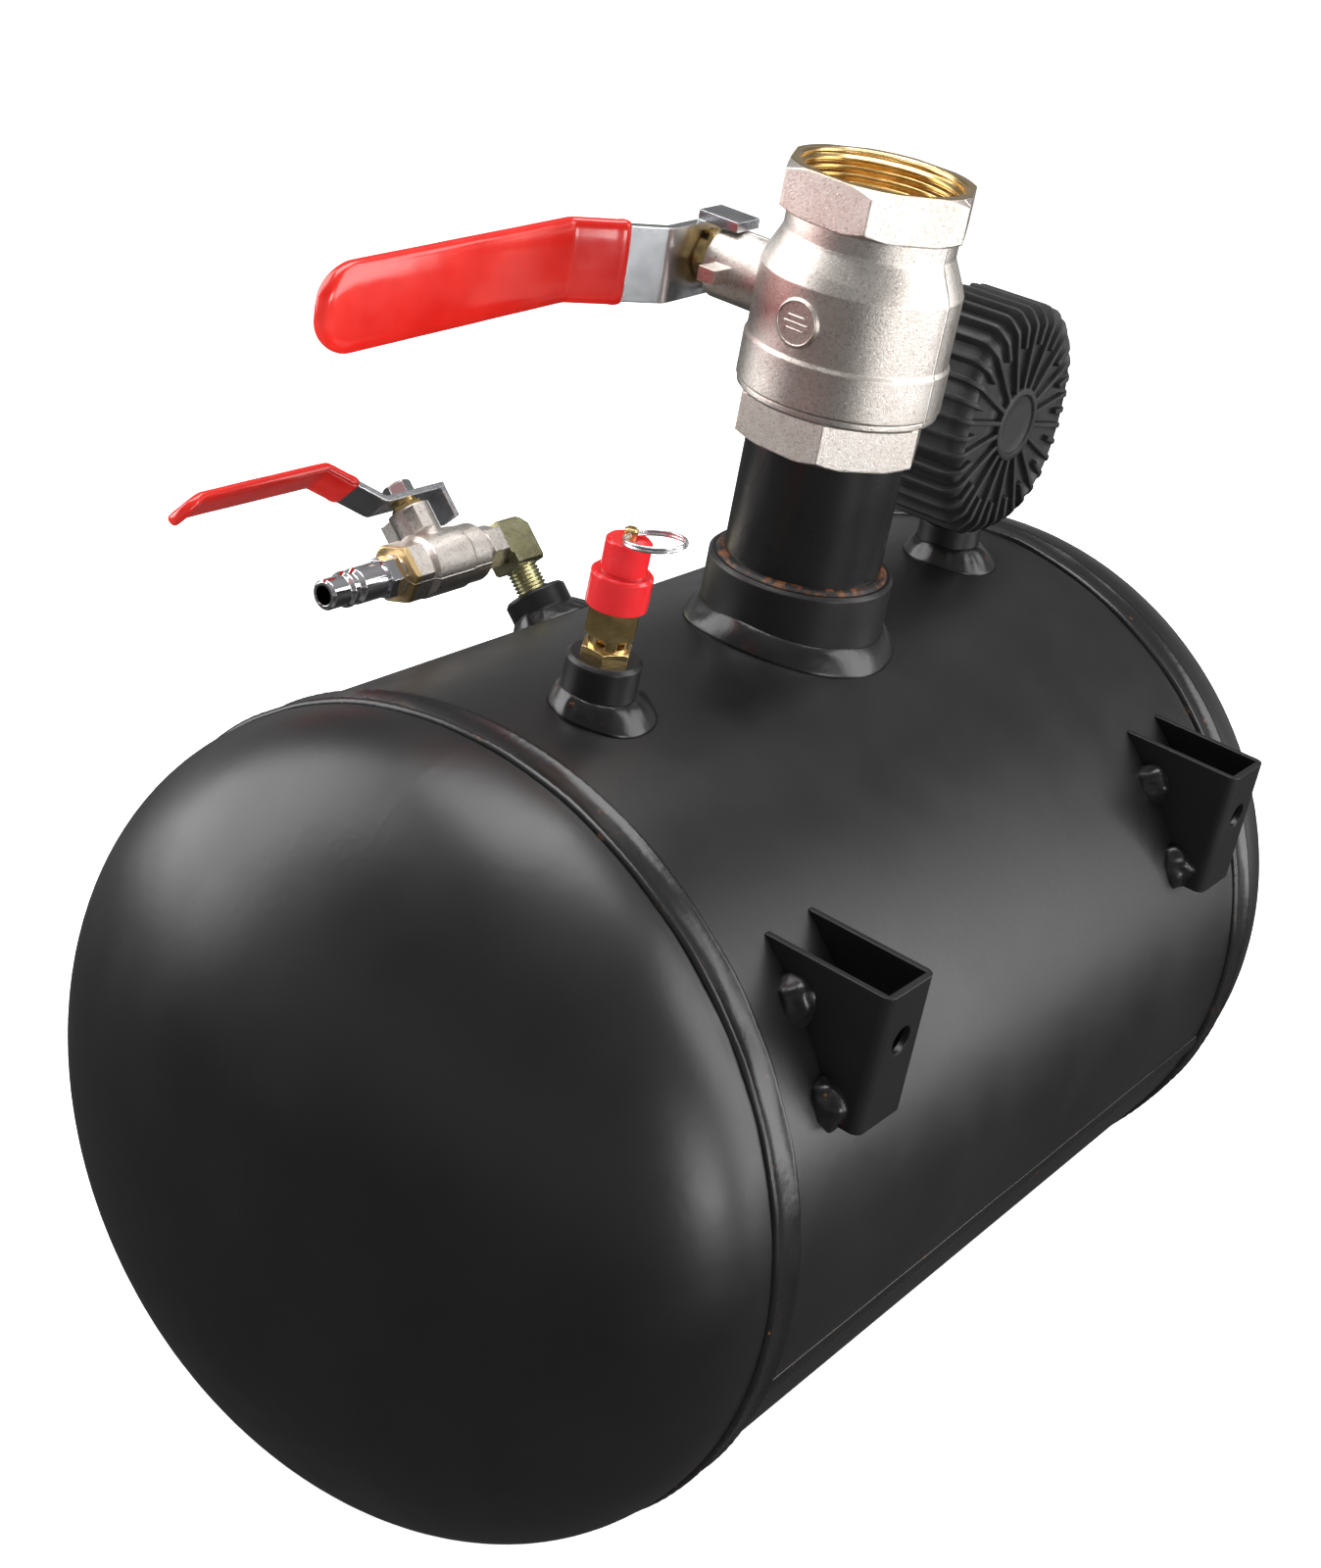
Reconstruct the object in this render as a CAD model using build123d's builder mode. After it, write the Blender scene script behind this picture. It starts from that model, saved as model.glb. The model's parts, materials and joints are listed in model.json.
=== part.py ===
"""Air receiver tank with ball-valve outlet, small inlet valve, relief valve and booted pressure gauge.

Millimetres, +Z up. The tank lies along X and hangs from two channel brackets on its -Y side. The origin
is midway between the two bracket bolt holes, on the outer face of the bracket webs.
"""
import os
from math import asin, cos, pi, radians, sin, sqrt

from build123d import *

os.makedirs("parts", exist_ok=True)

# Tank shell and heads
shell_radius = 123.0
shell_wall = 3.0
joint_reach = 138.7          # mid-length to each seam between shell and head
head_skirt = 8.6
head_depth = 65.6
girth_bead_width = 12.5
girth_bead_height = 1.6
girth_bead_dip = 0.5         # hollow between the two ridges of the bead
seam_angle = -102.0          # from straight up, positive towards +Y
seam_bead_width = 9.0
seam_bead_height = 1.2

# Mounting brackets
bracket_hole_height = 76.8   # tank axis to the bolt hole
bracket_spacing = 207.0
bracket_top = bracket_hole_height + 16.5
bracket_bottom = bracket_hole_height - 26.1
bracket_standoff = 8.335     # web clear of the shell at the lower edge of the bracket
bracket_reach = sqrt(shell_radius**2 - bracket_bottom**2) + bracket_standoff
bracket_width = 22.3
bracket_sheet = 2.0
bracket_bend = 3.0
bolt_hole_radius = 4.25
tack_radius = 4.6
tack_heights = (bracket_top - 13.3, bracket_bottom + 5.8)

# Threaded bungs on the shell
bung_radius = 10.6
bung_bore = 6.55
inlet_bore = 5.35
bung_chamfer = 1.0
bung_depth = 2.0             # how far a bung shows inside the shell
thread_gap = 0.05
bung_bead_width = 5.3
bung_bead_height = 5.5
inlet_x, inlet_angle, inlet_rise = -0.5, 46.5, 12.0
relief_x, relief_angle, relief_rise = -100.5, -2.0, 16.1
gauge_x, gauge_angle, gauge_rise = 98.4, 1.5, 13.0
inlet_top = shell_radius + inlet_rise
relief_top = shell_radius + relief_rise
gauge_top = shell_radius + gauge_rise

# Outlet pipe and its collar
pipe_radius = 24.15
pipe_bore = pipe_radius - 3.25
pipe_thread = pipe_radius - 0.3
collar_radius = pipe_radius + 4.35
collar_top = shell_radius + 20.3
collar_bevel = 2.4
collar_bead_width = 5.0
collar_bead_height = 4.0

# Main ball valve, heights from the tank axis
valve_ball = 23.0
valve_port = valve_ball - 7.0
valve_cavity = valve_ball + 0.5
valve_socket = valve_cavity + 2.8     # radius of the screwed joint between body and end
valve_seat_outer = valve_ball - 1.5
valve_drum_radius = valve_socket + 3.7
valve_flange_radius = valve_drum_radius + 0.7
valve_bore = pipe_thread + thread_gap
valve_neck_radius = valve_bore + 1.4
valve_flats = 2 * valve_bore + 4.7
valve_hex_turn = 27.0        # a corner of the hexagons from +X towards +Y
valve_bottom = shell_radius + 59.5
valve_lip_bottom = valve_bottom + 13.3
valve_split = valve_lip_bottom + 2.4
valve_flange_top = valve_split + 13.8
valve_stem_height = valve_lip_bottom + valve_ball + 3.4
valve_neck_height = valve_stem_height + valve_ball - 2.2
valve_drum_top = valve_neck_height - 10.0
valve_hex_bottom = valve_neck_height + 6.5
valve_top = valve_hex_bottom + 14.0
hex_bevel = 3.2              # taken off each hexagon corner, across and down
hex_bevel_depth = 1.85
edge_break = 0.6
seat_gap = 0.3
seat_shoulder = 3.0          # flat behind a seat, short of the ball's own radius
main_foot_height = 4.5
main_shaft_guide = 6.0
main_packing_height = 5.5
main_gland_length = 9.0
foot_top = valve_ball + main_foot_height
packing_base = foot_top + main_shaft_guide
packing_top = packing_base + main_packing_height
boss_reach = packing_top + main_gland_length
boss_radius = 11.0
lug_reach = 18.5
lug_width = 6.0
lug_height = 4.5
lug_centre = boss_reach - 7.0
disc_radius = 7.0            # plain raised disc on the valve body
disc_rise = 0.5
disc_height = valve_stem_height + 0.3
main_stem_radius = 6.0
main_stem_thread = 5.0
main_stem_foot = 7.6
running_gap = 0.05
foot_gap = 0.3
gland_thread = 8.4
gland_head = 9.6
gland_head_thick = 3.2

# Main lever
plate_thick = 3.0
plate_width = 2 * boss_radius + 1.0
hub_face = boss_reach + gland_head_thick + 1.8    # valve axis to the near face of the hub
hub_end = 13.0
hub_fold = 20.5
grip_fold = 46.0
grip_offset = hub_face + 18.5                     # valve axis to the mid-plane of the grip
grip_tip = 145.2
grip_start = 31.0
grip_skin = 1.3
lever_bend = 4.0
lever_droop = 2.2            # degrees below level
stop_tab_width = 11.0
stop_tab_length = 11.5
lever_nut_flats = 14.0
lever_nut_thick = 6.0

# Small elbow and ball valve
elbow_rise = 19.5            # bung to the valve's own axis
elbow_reach = inlet_top + elbow_rise
elbow_size = 12.4
elbow_leg = 7.4              # elbow centre to its open end
elbow_shank = 10.0           # elbow centre down to its male thread
elbow_corner = 3.6
thread_pitch = 1.337
thread_depth = 0.85
small_stem_angle = 47.0
small_ball = 6.4
small_port = 3.5
small_cavity = small_ball + 0.4
small_socket = small_cavity + 1.2
small_body_radius = small_socket + 2.3
small_step_radius = small_body_radius - 0.6
small_seat_outer = small_ball - 0.2
small_neck_flats = 13.0
small_neck_end = 14.5
small_body_start = 17.0
small_body_step = small_body_start + 10.0
small_stem_x = small_body_start + small_ball + 12.6    # inlet axis to the stem
small_body_end = small_stem_x + small_ball + 3.6
small_end_face = small_body_end + 9.0
small_flats = 17.6
small_thread = 6.4
small_boss_radius = 7.0
small_foot_height = 2.2
small_shaft_guide = 2.5
small_packing_height = 2.2
small_gland_length = 5.6
small_gland_thick = 1.8
small_foot_top = small_ball + small_foot_height
small_packing_base = small_foot_top + small_shaft_guide
small_packing_top = small_packing_base + small_packing_height
small_boss_top = small_packing_top + small_gland_length
small_stem_radius = 3.0
small_stem_thread = 2.5
small_stem_foot = 3.8
small_gland_thread = 4.6
small_gland_head = 5.2
small_hub_base = small_boss_top + small_gland_thick + 1.0
small_plate_thick = 2.0
small_plate_width = 12.0
small_hub_end = 14.5
small_hub_fold = 12.0
small_grip_fold = 29.5
small_grip_height = small_hub_base + 15.8
small_tip_fold = 81.0
small_tip = 88.5
small_tip_height = small_grip_height - 2.5
small_grip_start = 20.5
small_skin = 1.0
small_bend = 2.5
small_tab_bottom = small_hub_base - 9.7
small_tab_width = 8.0
small_nut_flats = 8.5
small_nut_thick = 4.6

# Quick-connect hose plug
plug_flats = 12.0
plug_hex_end = small_end_face + 6.8
plug_bore = 3.2
plug_tip_radius = 4.9
plug_tip = plug_hex_end + 24.2

# Relief valve, heights above its bung
relief_base_flats = 13.0
relief_base_top = 3.2
relief_notch_top = 7.0
relief_hex_flats = 13.5
relief_hex_top = 17.5
relief_bore = 4.6
relief_cap_base = 15.6
relief_skirt_top = 25.4
relief_cap_top = 34.8
relief_skirt_radius = 8.6
relief_cap_radius = 6.4
relief_pin_radius = 1.9
relief_pin_top = relief_cap_top + 3.3
ring_eye_radius = 1.45
ring_clearance = 0.3
ring_radius = 8.3
ring_width = 1.0
ring_height = 2.0
spring_radius = 3.3
spring_wire = 0.5
spring_pitch = 2.3

# Pressure gauge, depths measured from its stem towards the dial
case_radius = 32.5
case_wall = 1.2
case_back = -11.5
case_front = 15.0
bezel_front = case_front + 3.5
bezel_lip = case_radius - 4.0
lens_back = 13.0
dial_back = 4.0
dial_thick = 0.8
dial_radius = case_radius - 2.0
boot_radius = case_radius + 2.8
boot_back = case_back - 5.0
boot_rim = case_back - 2.5
boot_front = bezel_front + 2.5
boot_lip = boot_radius - 5.8
boot_hub = 12.3
boot_hub_inner = 10.0
boot_recess = 1.0
rib_count = 36               # long and short ribs in turn
rib_width = 1.9
rib_height = 2.0
rib_inner = 26.7             # where the short ribs begin
rib_corner = 4.5
boot_window = 17.0           # gap in the boot around the stem
boot_clearance = 1.2         # bung to the ribs of the boot
gauge_reach = gauge_top + boot_clearance + boot_radius + rib_height    # tank axis to the centre of the dial
stem_flats = 14.0
stem_hex_height = 4.2
needle_length = dial_radius - 8.5
needle_tail = 8.0
needle_zero = 225.0           # degrees from the right, seen from the front
arbor_radius = 1.0
arbor_hub = 3.2
tube_radius = case_radius - 9.5
tube_width = 2.4
socket_width = 12.0

tank_centre = Vector(0, bracket_reach, -bracket_hole_height)
lengthwise = Plane(origin=tank_centre, x_dir=(0, 1, 0), z_dir=(1, 0, 0))


def radial(x, angle):
    """Plane on the tank axis at x whose normal points outwards, angle degrees from up towards +Y."""
    outward = (0, sin(radians(angle)), cos(radians(angle)))
    return Plane(origin=tank_centre + Vector(x, 0, 0), x_dir=(1, 0, 0), z_dir=outward)


def section(plane):
    """Plane through another plane's normal: x stays and y runs along the normal."""
    return Plane(origin=plane.origin, x_dir=plane.x_dir, z_dir=-plane.y_dir)


def turned(plane, outline, mode=Mode.ADD):
    """Solid of revolution about a plane's normal, from (radius, height) points."""
    with BuildSketch(section(plane)) as profile:
        with BuildLine():
            Polyline(*outline, close=True)
        make_face()
    revolve(profile.sketch, axis=Axis(plane.origin, plane.z_dir), mode=mode)


def rod(plane, radius, low, high, mode=Mode.ADD):
    """Round bar or bore along a plane's normal."""
    with BuildSketch(plane.offset(low)) as profile:
        Circle(radius)
    extrude(profile.sketch, amount=high - low, mode=mode)


def hex_bar(plane, flats, low, high, turn=0.0, mode=Mode.ADD):
    """Hexagonal bar along a plane's normal, flats given across."""
    with BuildSketch(plane.offset(low)) as profile:
        RegularPolygon(radius=flats / 2, side_count=6, major_radius=False, rotation=turn)
    extrude(profile.sketch, amount=high - low, mode=mode)


def block(plane, low, high, width, height, centre=(0, 0), mode=Mode.ADD):
    """Rectangular bar along a plane's normal."""
    with BuildSketch(plane.offset(low)) as profile:
        with Locations(centre):
            Rectangle(width, height)
    extrude(profile.sketch, amount=high - low, mode=mode)


def corner_cut(plane, corner, face, cut, drop):
    """Bevel the corners of a hexagon at one face; drop is negative where the metal is below the face."""
    turned(
        plane,
        [(corner - cut, face), (corner + cut, face), (corner + cut, face + 2 * drop)],
        mode=Mode.SUBTRACT,
    )


def write(part, label):
    """Label one finished piece and write its own STEP file."""
    part.label = label
    export_step(part, f"parts/{label}.step")


top = radial(0, 0)
inlet = radial(inlet_x, inlet_angle)
relief = radial(relief_x, relief_angle)
gauge_foot = radial(gauge_x, gauge_angle)

# ---------------------------------------------------------------- tank

with BuildPart() as shell:
    rod(lengthwise, shell_radius, -joint_reach, joint_reach)
    rod(lengthwise, shell_radius - shell_wall, -joint_reach, joint_reach, mode=Mode.SUBTRACT)
    for bung_place in (inlet, relief, gauge_foot):
        rod(bung_place, bung_radius, shell_radius / 2, shell_radius + bung_radius, mode=Mode.SUBTRACT)
    rod(top, pipe_radius, shell_radius / 2, shell_radius + pipe_radius, mode=Mode.SUBTRACT)
write(shell.part, "shell")

with BuildPart() as far_head:
    crown = joint_reach + head_skirt
    with BuildSketch(section(top)):
        with BuildLine():
            Line((joint_reach, shell_radius), (crown, shell_radius))
            EllipticalCenterArc((crown, 0), head_depth, shell_radius, start_angle=0, arc_size=90)
            Line((crown + head_depth, 0), (crown + head_depth - shell_wall, 0))
            EllipticalCenterArc(
                (crown, 0), head_depth - shell_wall, shell_radius - shell_wall, start_angle=0, arc_size=90
            )
            Line((crown, shell_radius - shell_wall), (joint_reach, shell_radius - shell_wall))
            Line((joint_reach, shell_radius - shell_wall), (joint_reach, shell_radius))
        make_face()
    revolve(axis=Axis(tank_centre, (1, 0, 0)))
write(far_head.part, "far_head")

with BuildPart() as near_head:
    mirror(far_head.part, about=Plane.YZ)
write(near_head.part, "near_head")

with BuildPart() as far_girth_weld:
    half = girth_bead_width / 2
    ridge = shell_radius + girth_bead_height
    turned(
        lengthwise,
        [
            (shell_radius, joint_reach - half),
            (ridge, joint_reach - 0.75 * half),
            (ridge - girth_bead_dip, joint_reach),
            (ridge, joint_reach + 0.75 * half),
            (shell_radius, joint_reach + half),
        ],
    )
write(far_girth_weld.part, "far_girth_weld")

with BuildPart() as near_girth_weld:
    mirror(far_girth_weld.part, about=Plane.YZ)
write(near_girth_weld.part, "near_girth_weld")

with BuildPart() as seam_weld:
    seam_reach = joint_reach - girth_bead_width / 2
    seam_round = (seam_bead_width**2 / 4 + seam_bead_height**2) / (2 * seam_bead_height)
    seam_depth = shell_radius + seam_bead_height - seam_round
    with BuildSketch(lengthwise.offset(-seam_reach)):
        with Locations((seam_depth * sin(radians(seam_angle)), seam_depth * cos(radians(seam_angle)))):
            Circle(seam_round)
    extrude(amount=2 * seam_reach)
    rod(lengthwise, shell_radius, -joint_reach, joint_reach, mode=Mode.SUBTRACT)
write(seam_weld.part, "seam_weld")


def bung(place, face, bore):
    """Threaded boss let into the shell."""
    with BuildPart() as boss:
        base = shell_radius - shell_wall - bung_depth
        turned(
            place,
            [
                (bore, base),
                (bung_radius, base),
                (bung_radius, face - bung_chamfer),
                (bung_radius - bung_chamfer, face),
                (bore, face),
            ],
        )
    return boss.part


def saddle_bead(place, inner, width, height):
    """Fillet weld round a boss, seated on the shell."""
    with BuildPart() as bead:
        turned(
            place,
            [
                (inner, shell_radius - height),
                (inner, shell_radius + height),
                (inner + 0.3 * width, shell_radius + 0.8 * height),
                (inner + width, shell_radius - 0.6),
                (inner + width, shell_radius - height),
            ],
        )
        rod(lengthwise, shell_radius, -joint_reach, joint_reach, mode=Mode.SUBTRACT)
    return bead.part


for bung_name, bung_place, bung_face, thread_bore in (
    ("inlet", inlet, inlet_top, inlet_bore),
    ("relief", relief, relief_top, bung_bore),
    ("gauge", gauge_foot, gauge_top, bung_bore),
):
    write(bung(bung_place, bung_face, thread_bore), f"{bung_name}_bung")
    write(saddle_bead(bung_place, bung_radius, bung_bead_width, bung_bead_height), f"{bung_name}_bung_weld")

write(saddle_bead(top, collar_radius, collar_bead_width, collar_bead_height), "outlet_collar_weld")

with BuildPart() as outlet_collar:
    turned(
        top,
        [
            (pipe_radius, shell_radius / 2),
            (collar_radius, shell_radius / 2),
            (collar_radius, collar_top - 1),
            (collar_radius - 1, collar_top),
            (pipe_radius + collar_bevel, collar_top),
            (pipe_radius, collar_top - collar_bevel),
        ],
    )
    rod(lengthwise, shell_radius, -joint_reach, joint_reach, mode=Mode.SUBTRACT)
write(outlet_collar.part, "outlet_collar")

with BuildPart() as outlet_pipe:
    pipe_end = valve_lip_bottom - 4
    turned(
        top,
        [
            (pipe_bore, shell_radius - shell_wall - bung_depth),
            (pipe_radius, shell_radius - shell_wall - bung_depth),
            (pipe_radius, valve_bottom - 0.3),
            (pipe_thread, valve_bottom),
            (pipe_thread, pipe_end),
            (pipe_bore, pipe_end),
        ],
    )
write(outlet_pipe.part, "outlet_pipe")

with BuildPart() as outlet_pipe_weld:
    turned(
        top,
        [
            (pipe_radius, collar_top - collar_bevel),
            (pipe_radius + collar_bevel, collar_top),
            (pipe_radius + 0.6 * collar_bevel, collar_top + 0.9),
            (pipe_radius, collar_top + 1.4),
        ],
    )
write(outlet_pipe_weld.part, "outlet_pipe_weld")

# ---------------------------------------------------------------- brackets


def bracket(x):
    """Channel with its web away from the tank and its two sides cut to the shell."""
    with BuildPart() as channel:
        with BuildSketch(top.offset(bracket_bottom)):
            with Locations((x, -bracket_reach / 2)):
                Rectangle(bracket_width, bracket_reach)
        extrude(amount=bracket_top - bracket_bottom)
        web_edges = channel.edges().filter_by(Axis.Z).group_by(Axis.Y)[0]
        fillet(web_edges, bracket_bend)
        with BuildSketch(top.offset(bracket_bottom)):
            with Locations((x, bracket_sheet - bracket_reach / 2)):
                Rectangle(bracket_width - 2 * bracket_sheet, bracket_reach)
        extrude(amount=bracket_top - bracket_bottom, mode=Mode.SUBTRACT)
        rod(lengthwise, shell_radius, -joint_reach, joint_reach, mode=Mode.SUBTRACT)
        with BuildSketch(Plane.XZ.offset(-bracket_sheet)):
            with Locations((x, 0)):
                Circle(bolt_hole_radius)
        extrude(amount=2 * bracket_sheet, mode=Mode.SUBTRACT)
    return channel.part


def bracket_tacks(x):
    """Four tack welds between a bracket's two sides and the shell."""
    with BuildPart() as tacks:
        for side in (-1, 1):
            for height in tack_heights:
                depth = sqrt(shell_radius**2 - height**2)
                with Locations(tank_centre + Vector(x + side * bracket_width / 2, -depth, height)):
                    Sphere(tack_radius)
        rod(lengthwise, shell_radius, -joint_reach, joint_reach, mode=Mode.SUBTRACT)
        with BuildSketch(top):
            with Locations((x, -bracket_reach / 2)):
                Rectangle(bracket_width, bracket_reach)
        extrude(amount=shell_radius, mode=Mode.SUBTRACT)
    return tacks.part


for bracket_name, bracket_x in (("near", -bracket_spacing / 2), ("far", bracket_spacing / 2)):
    write(bracket(bracket_x), f"{bracket_name}_bracket")
    write(bracket_tacks(bracket_x), f"{bracket_name}_bracket_welds")

# ---------------------------------------------------------------- main valve

stem_centre = tank_centre + Vector(0, 0, valve_stem_height)
main_stem_plane = Plane(origin=stem_centre, x_dir=(-1, 0, 0), z_dir=(0, 1, 0))
main_port_plane = Plane(origin=stem_centre, x_dir=(0, 1, 0), z_dir=(1, 0, 0))
seat_low = sqrt((valve_ball + seat_gap) ** 2 - valve_seat_outer**2)
seat_high = valve_ball - seat_shoulder
hex_corner = valve_flats / sqrt(3)

with BuildPart() as main_valve_body:
    turned(
        top,
        [
            (0, valve_split),
            (valve_flange_radius - edge_break, valve_split),
            (valve_flange_radius, valve_split + edge_break),
            (valve_flange_radius, valve_flange_top - edge_break),
            (valve_drum_radius, valve_flange_top + edge_break),
            (valve_drum_radius, valve_drum_top),
            (valve_drum_radius - 1.3, valve_drum_top + 3.4),
            (valve_neck_radius + 0.3, valve_neck_height),
            (valve_neck_radius, valve_neck_height + 1),
            (valve_neck_radius, valve_hex_bottom + 1),
            (0, valve_hex_bottom + 1),
        ],
    )
    rod(main_stem_plane, boss_radius, 0, boss_reach)
    block(main_stem_plane, lug_centre - lug_width / 2, lug_centre + lug_width / 2,
          lug_reach, lug_height, centre=(lug_reach / 2, 0))
    hex_bar(top, valve_flats, valve_hex_bottom, valve_top, turn=valve_hex_turn)
    corner_cut(top, hex_corner, valve_top, hex_bevel, -hex_bevel_depth)
    corner_cut(top, hex_corner, valve_hex_bottom, hex_bevel, hex_bevel_depth)
    disc_plane = Plane(origin=tank_centre + Vector(0, 0, disc_height), x_dir=(0, 0, 1), z_dir=(-1, 0, 0))
    rod(disc_plane, disc_radius, valve_drum_radius - 3, valve_drum_radius + disc_rise)
    turned(
        top,
        [
            (0, valve_split),
            (valve_socket, valve_split),
            (valve_socket, valve_stem_height - seat_high - 1),
            (valve_cavity, valve_stem_height - seat_high),
            (valve_cavity, valve_stem_height + seat_low),
            (valve_seat_outer, valve_stem_height + seat_low),
            (valve_seat_outer, valve_stem_height + seat_high),
            (valve_port, valve_stem_height + seat_high),
            (valve_port, valve_neck_height + 1),
            (valve_bore, valve_neck_height + 4),
            (valve_bore, valve_top - edge_break),
            (valve_bore + edge_break, valve_top),
            (0, valve_top),
        ],
        mode=Mode.SUBTRACT,
    )
    rod(main_stem_plane, main_stem_foot + foot_gap, valve_ball - 5, foot_top + foot_gap, mode=Mode.SUBTRACT)
    rod(main_stem_plane, main_stem_radius + running_gap, foot_top, boss_reach, mode=Mode.SUBTRACT)
    rod(main_stem_plane, gland_thread, packing_base, boss_reach, mode=Mode.SUBTRACT)
write(main_valve_body.part, "main_valve_body")

with BuildPart() as main_valve_end:
    hex_bar(top, valve_flats, valve_bottom, valve_lip_bottom, turn=valve_hex_turn)
    corner_cut(top, hex_corner, valve_bottom, hex_bevel, hex_bevel_depth)
    turned(
        top,
        [
            (0, valve_lip_bottom),
            (valve_flange_radius - 1.4, valve_lip_bottom),
            (valve_flange_radius - edge_break, valve_lip_bottom + 0.8),
            (valve_flange_radius - edge_break, valve_split),
            (valve_socket - thread_gap, valve_split),
            (valve_socket - thread_gap, valve_stem_height - seat_high - 1.5),
            (0, valve_stem_height - seat_high - 1.5),
        ],
    )
    turned(
        top,
        [
            (0, valve_bottom),
            (valve_bore, valve_bottom),
            (valve_bore, valve_lip_bottom - 3.5),
            (valve_port, valve_lip_bottom - 1),
            (valve_port, valve_stem_height - seat_high - 1.5),
            (0, valve_stem_height - seat_high - 1.5),
        ],
        mode=Mode.SUBTRACT,
    )
write(main_valve_end.part, "main_valve_end")


def seat_pair(flow_plane, ball, port, outer, low, high, lower_reach):
    """Two sealing rings, hollowed to the ball they bear on."""
    with BuildPart() as seats:
        rod(flow_plane, outer, low, high)
        rod(flow_plane, outer, -lower_reach, -low)
        with Locations(flow_plane):
            Sphere(ball + seat_gap, mode=Mode.SUBTRACT)
        rod(flow_plane, port + 0.3, -2 * high, 2 * high, mode=Mode.SUBTRACT)
    return seats.part


def valve_ball_solid(port_plane, stem_plane, ball, port, slot_width, slot_depth):
    """Ball with a through port and a slot that takes the foot of the stem."""
    with BuildPart() as sphere:
        with Locations(port_plane):
            Sphere(ball)
        rod(port_plane, port, -ball, ball, mode=Mode.SUBTRACT)
        block(stem_plane, ball - slot_depth, ball + slot_depth, 2 * ball, slot_width, mode=Mode.SUBTRACT)
    return sphere.part


main_slot_width = 5.0
main_slot_depth = 3.5
write(
    seat_pair(top.offset(valve_stem_height), valve_ball, valve_port, valve_seat_outer - thread_gap,
              seat_low, seat_high, seat_high + 1.5),
    "main_seats",
)
write(
    valve_ball_solid(main_port_plane, main_stem_plane, valve_ball, valve_port, main_slot_width, main_slot_depth),
    "main_ball",
)

hub_outer = hub_face + plate_thick
with BuildPart() as main_stem:
    turned(
        main_stem_plane,
        [
            (0, valve_ball + 0.3),
            (main_stem_foot, valve_ball + 0.3),
            (main_stem_foot, foot_top),
            (main_stem_radius, foot_top),
            (main_stem_radius, boss_reach + gland_head_thick),
            (main_stem_radius + 1.5, boss_reach + gland_head_thick + 0.3),
            (main_stem_radius + 1.5, hub_face),
            (main_stem_thread, hub_face),
            (main_stem_thread, hub_outer + lever_nut_thick + 1.5),
            (main_stem_thread - 1, hub_outer + lever_nut_thick + 2.5),
            (0, hub_outer + lever_nut_thick + 2.5),
        ],
    )
    block(main_stem_plane, valve_ball - main_slot_depth, valve_ball + 0.3,
          1.5 * seat_low, main_slot_width)
write(main_stem.part, "main_stem")


def ring_piece(plane, inner, outer, low, high):
    """Plain ring about a plane's normal."""
    with BuildPart() as ring:
        rod(plane, outer, low, high)
        rod(plane, inner, low, high, mode=Mode.SUBTRACT)
    return ring.part


def gland_nut(plane, inner, thread, head, bottom, seat, height):
    """Gland nut: a threaded sleeve with a head that stands on the boss."""
    with BuildPart() as nut:
        rod(plane, thread - thread_gap, bottom, seat)
        hex_bar(plane, 2 * head * cos(pi / 6), seat, seat + height)
        rod(plane, inner, bottom, seat + height, mode=Mode.SUBTRACT)
    return nut.part


write(
    ring_piece(main_stem_plane, main_stem_radius + running_gap, gland_thread - thread_gap,
               packing_base, packing_top),
    "main_packing",
)
write(
    gland_nut(main_stem_plane, main_stem_radius + running_gap, gland_thread, gland_head,
              packing_top, boss_reach, gland_head_thick),
    "main_gland",
)

# ---------------------------------------------------------------- levers


def bent_strip(plane, path, bend, thickness, width):
    """Strip bent along a path of points in a plane and as wide as the lever, centred on the plane."""
    with BuildSketch(plane.offset(-width / 2)) as profile:
        with BuildLine() as bends:
            FilletPolyline(*path, radius=bend)
        trace(bends.line, line_width=thickness)
    extrude(profile.sketch, amount=width)


def rounded_end(plane, reach, start, width, span):
    """Keep only what lies inside a long slot seen along the stem, round at its outer end."""
    with BuildSketch(plane.offset(-span)) as profile:
        with Locations(((reach - width / 2 + start) / 2, 0)):
            Rectangle(reach - width / 2 - start, width)
        with Locations((reach - width / 2, 0)):
            Circle(width / 2)
    extrude(profile.sketch, amount=2 * span, mode=Mode.INTERSECT)


def lever_nut(plane, flats, bore, base, height):
    """Hexagon nut that holds a lever on its stem."""
    with BuildPart() as nut:
        hex_bar(plane, flats, base, base + height, turn=15)
        corner = flats / sqrt(3)
        corner_cut(plane, corner, base + height, 1.0, -0.6)
        rod(plane, bore, base, base + height, mode=Mode.SUBTRACT)
    return nut.part


lever_seat = Plane(origin=stem_centre, z_dir=(0, 1, 0),
                   x_dir=(-cos(radians(lever_droop)), 0, -sin(radians(lever_droop))))
main_lever_plane = section(lever_seat)
hub_middle = hub_face + plate_thick / 2
main_path = [(-hub_end, hub_middle), (hub_fold, hub_middle), (grip_fold, grip_offset), (grip_tip, grip_offset)]
slant_slope = (grip_offset - hub_middle) / (grip_fold - hub_fold)
grip_start_point = (grip_start, hub_middle + slant_slope * (grip_start - hub_fold))

with BuildPart() as main_lever_plate:
    bent_strip(main_lever_plane, main_path, lever_bend, plate_thick, plate_width)
    rounded_end(lever_seat, grip_tip, -hub_end, plate_width, 2 * grip_offset)
    tab_top = plate_width / 2 + plate_thick
    block(lever_seat, hub_face - stop_tab_length, hub_outer, stop_tab_width, plate_thick,
          centre=(0, tab_top - plate_thick / 2))
    rod(main_stem_plane, main_stem_thread, hub_face, hub_outer, mode=Mode.SUBTRACT)
write(main_lever_plate.part, "main_lever_plate")

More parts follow.
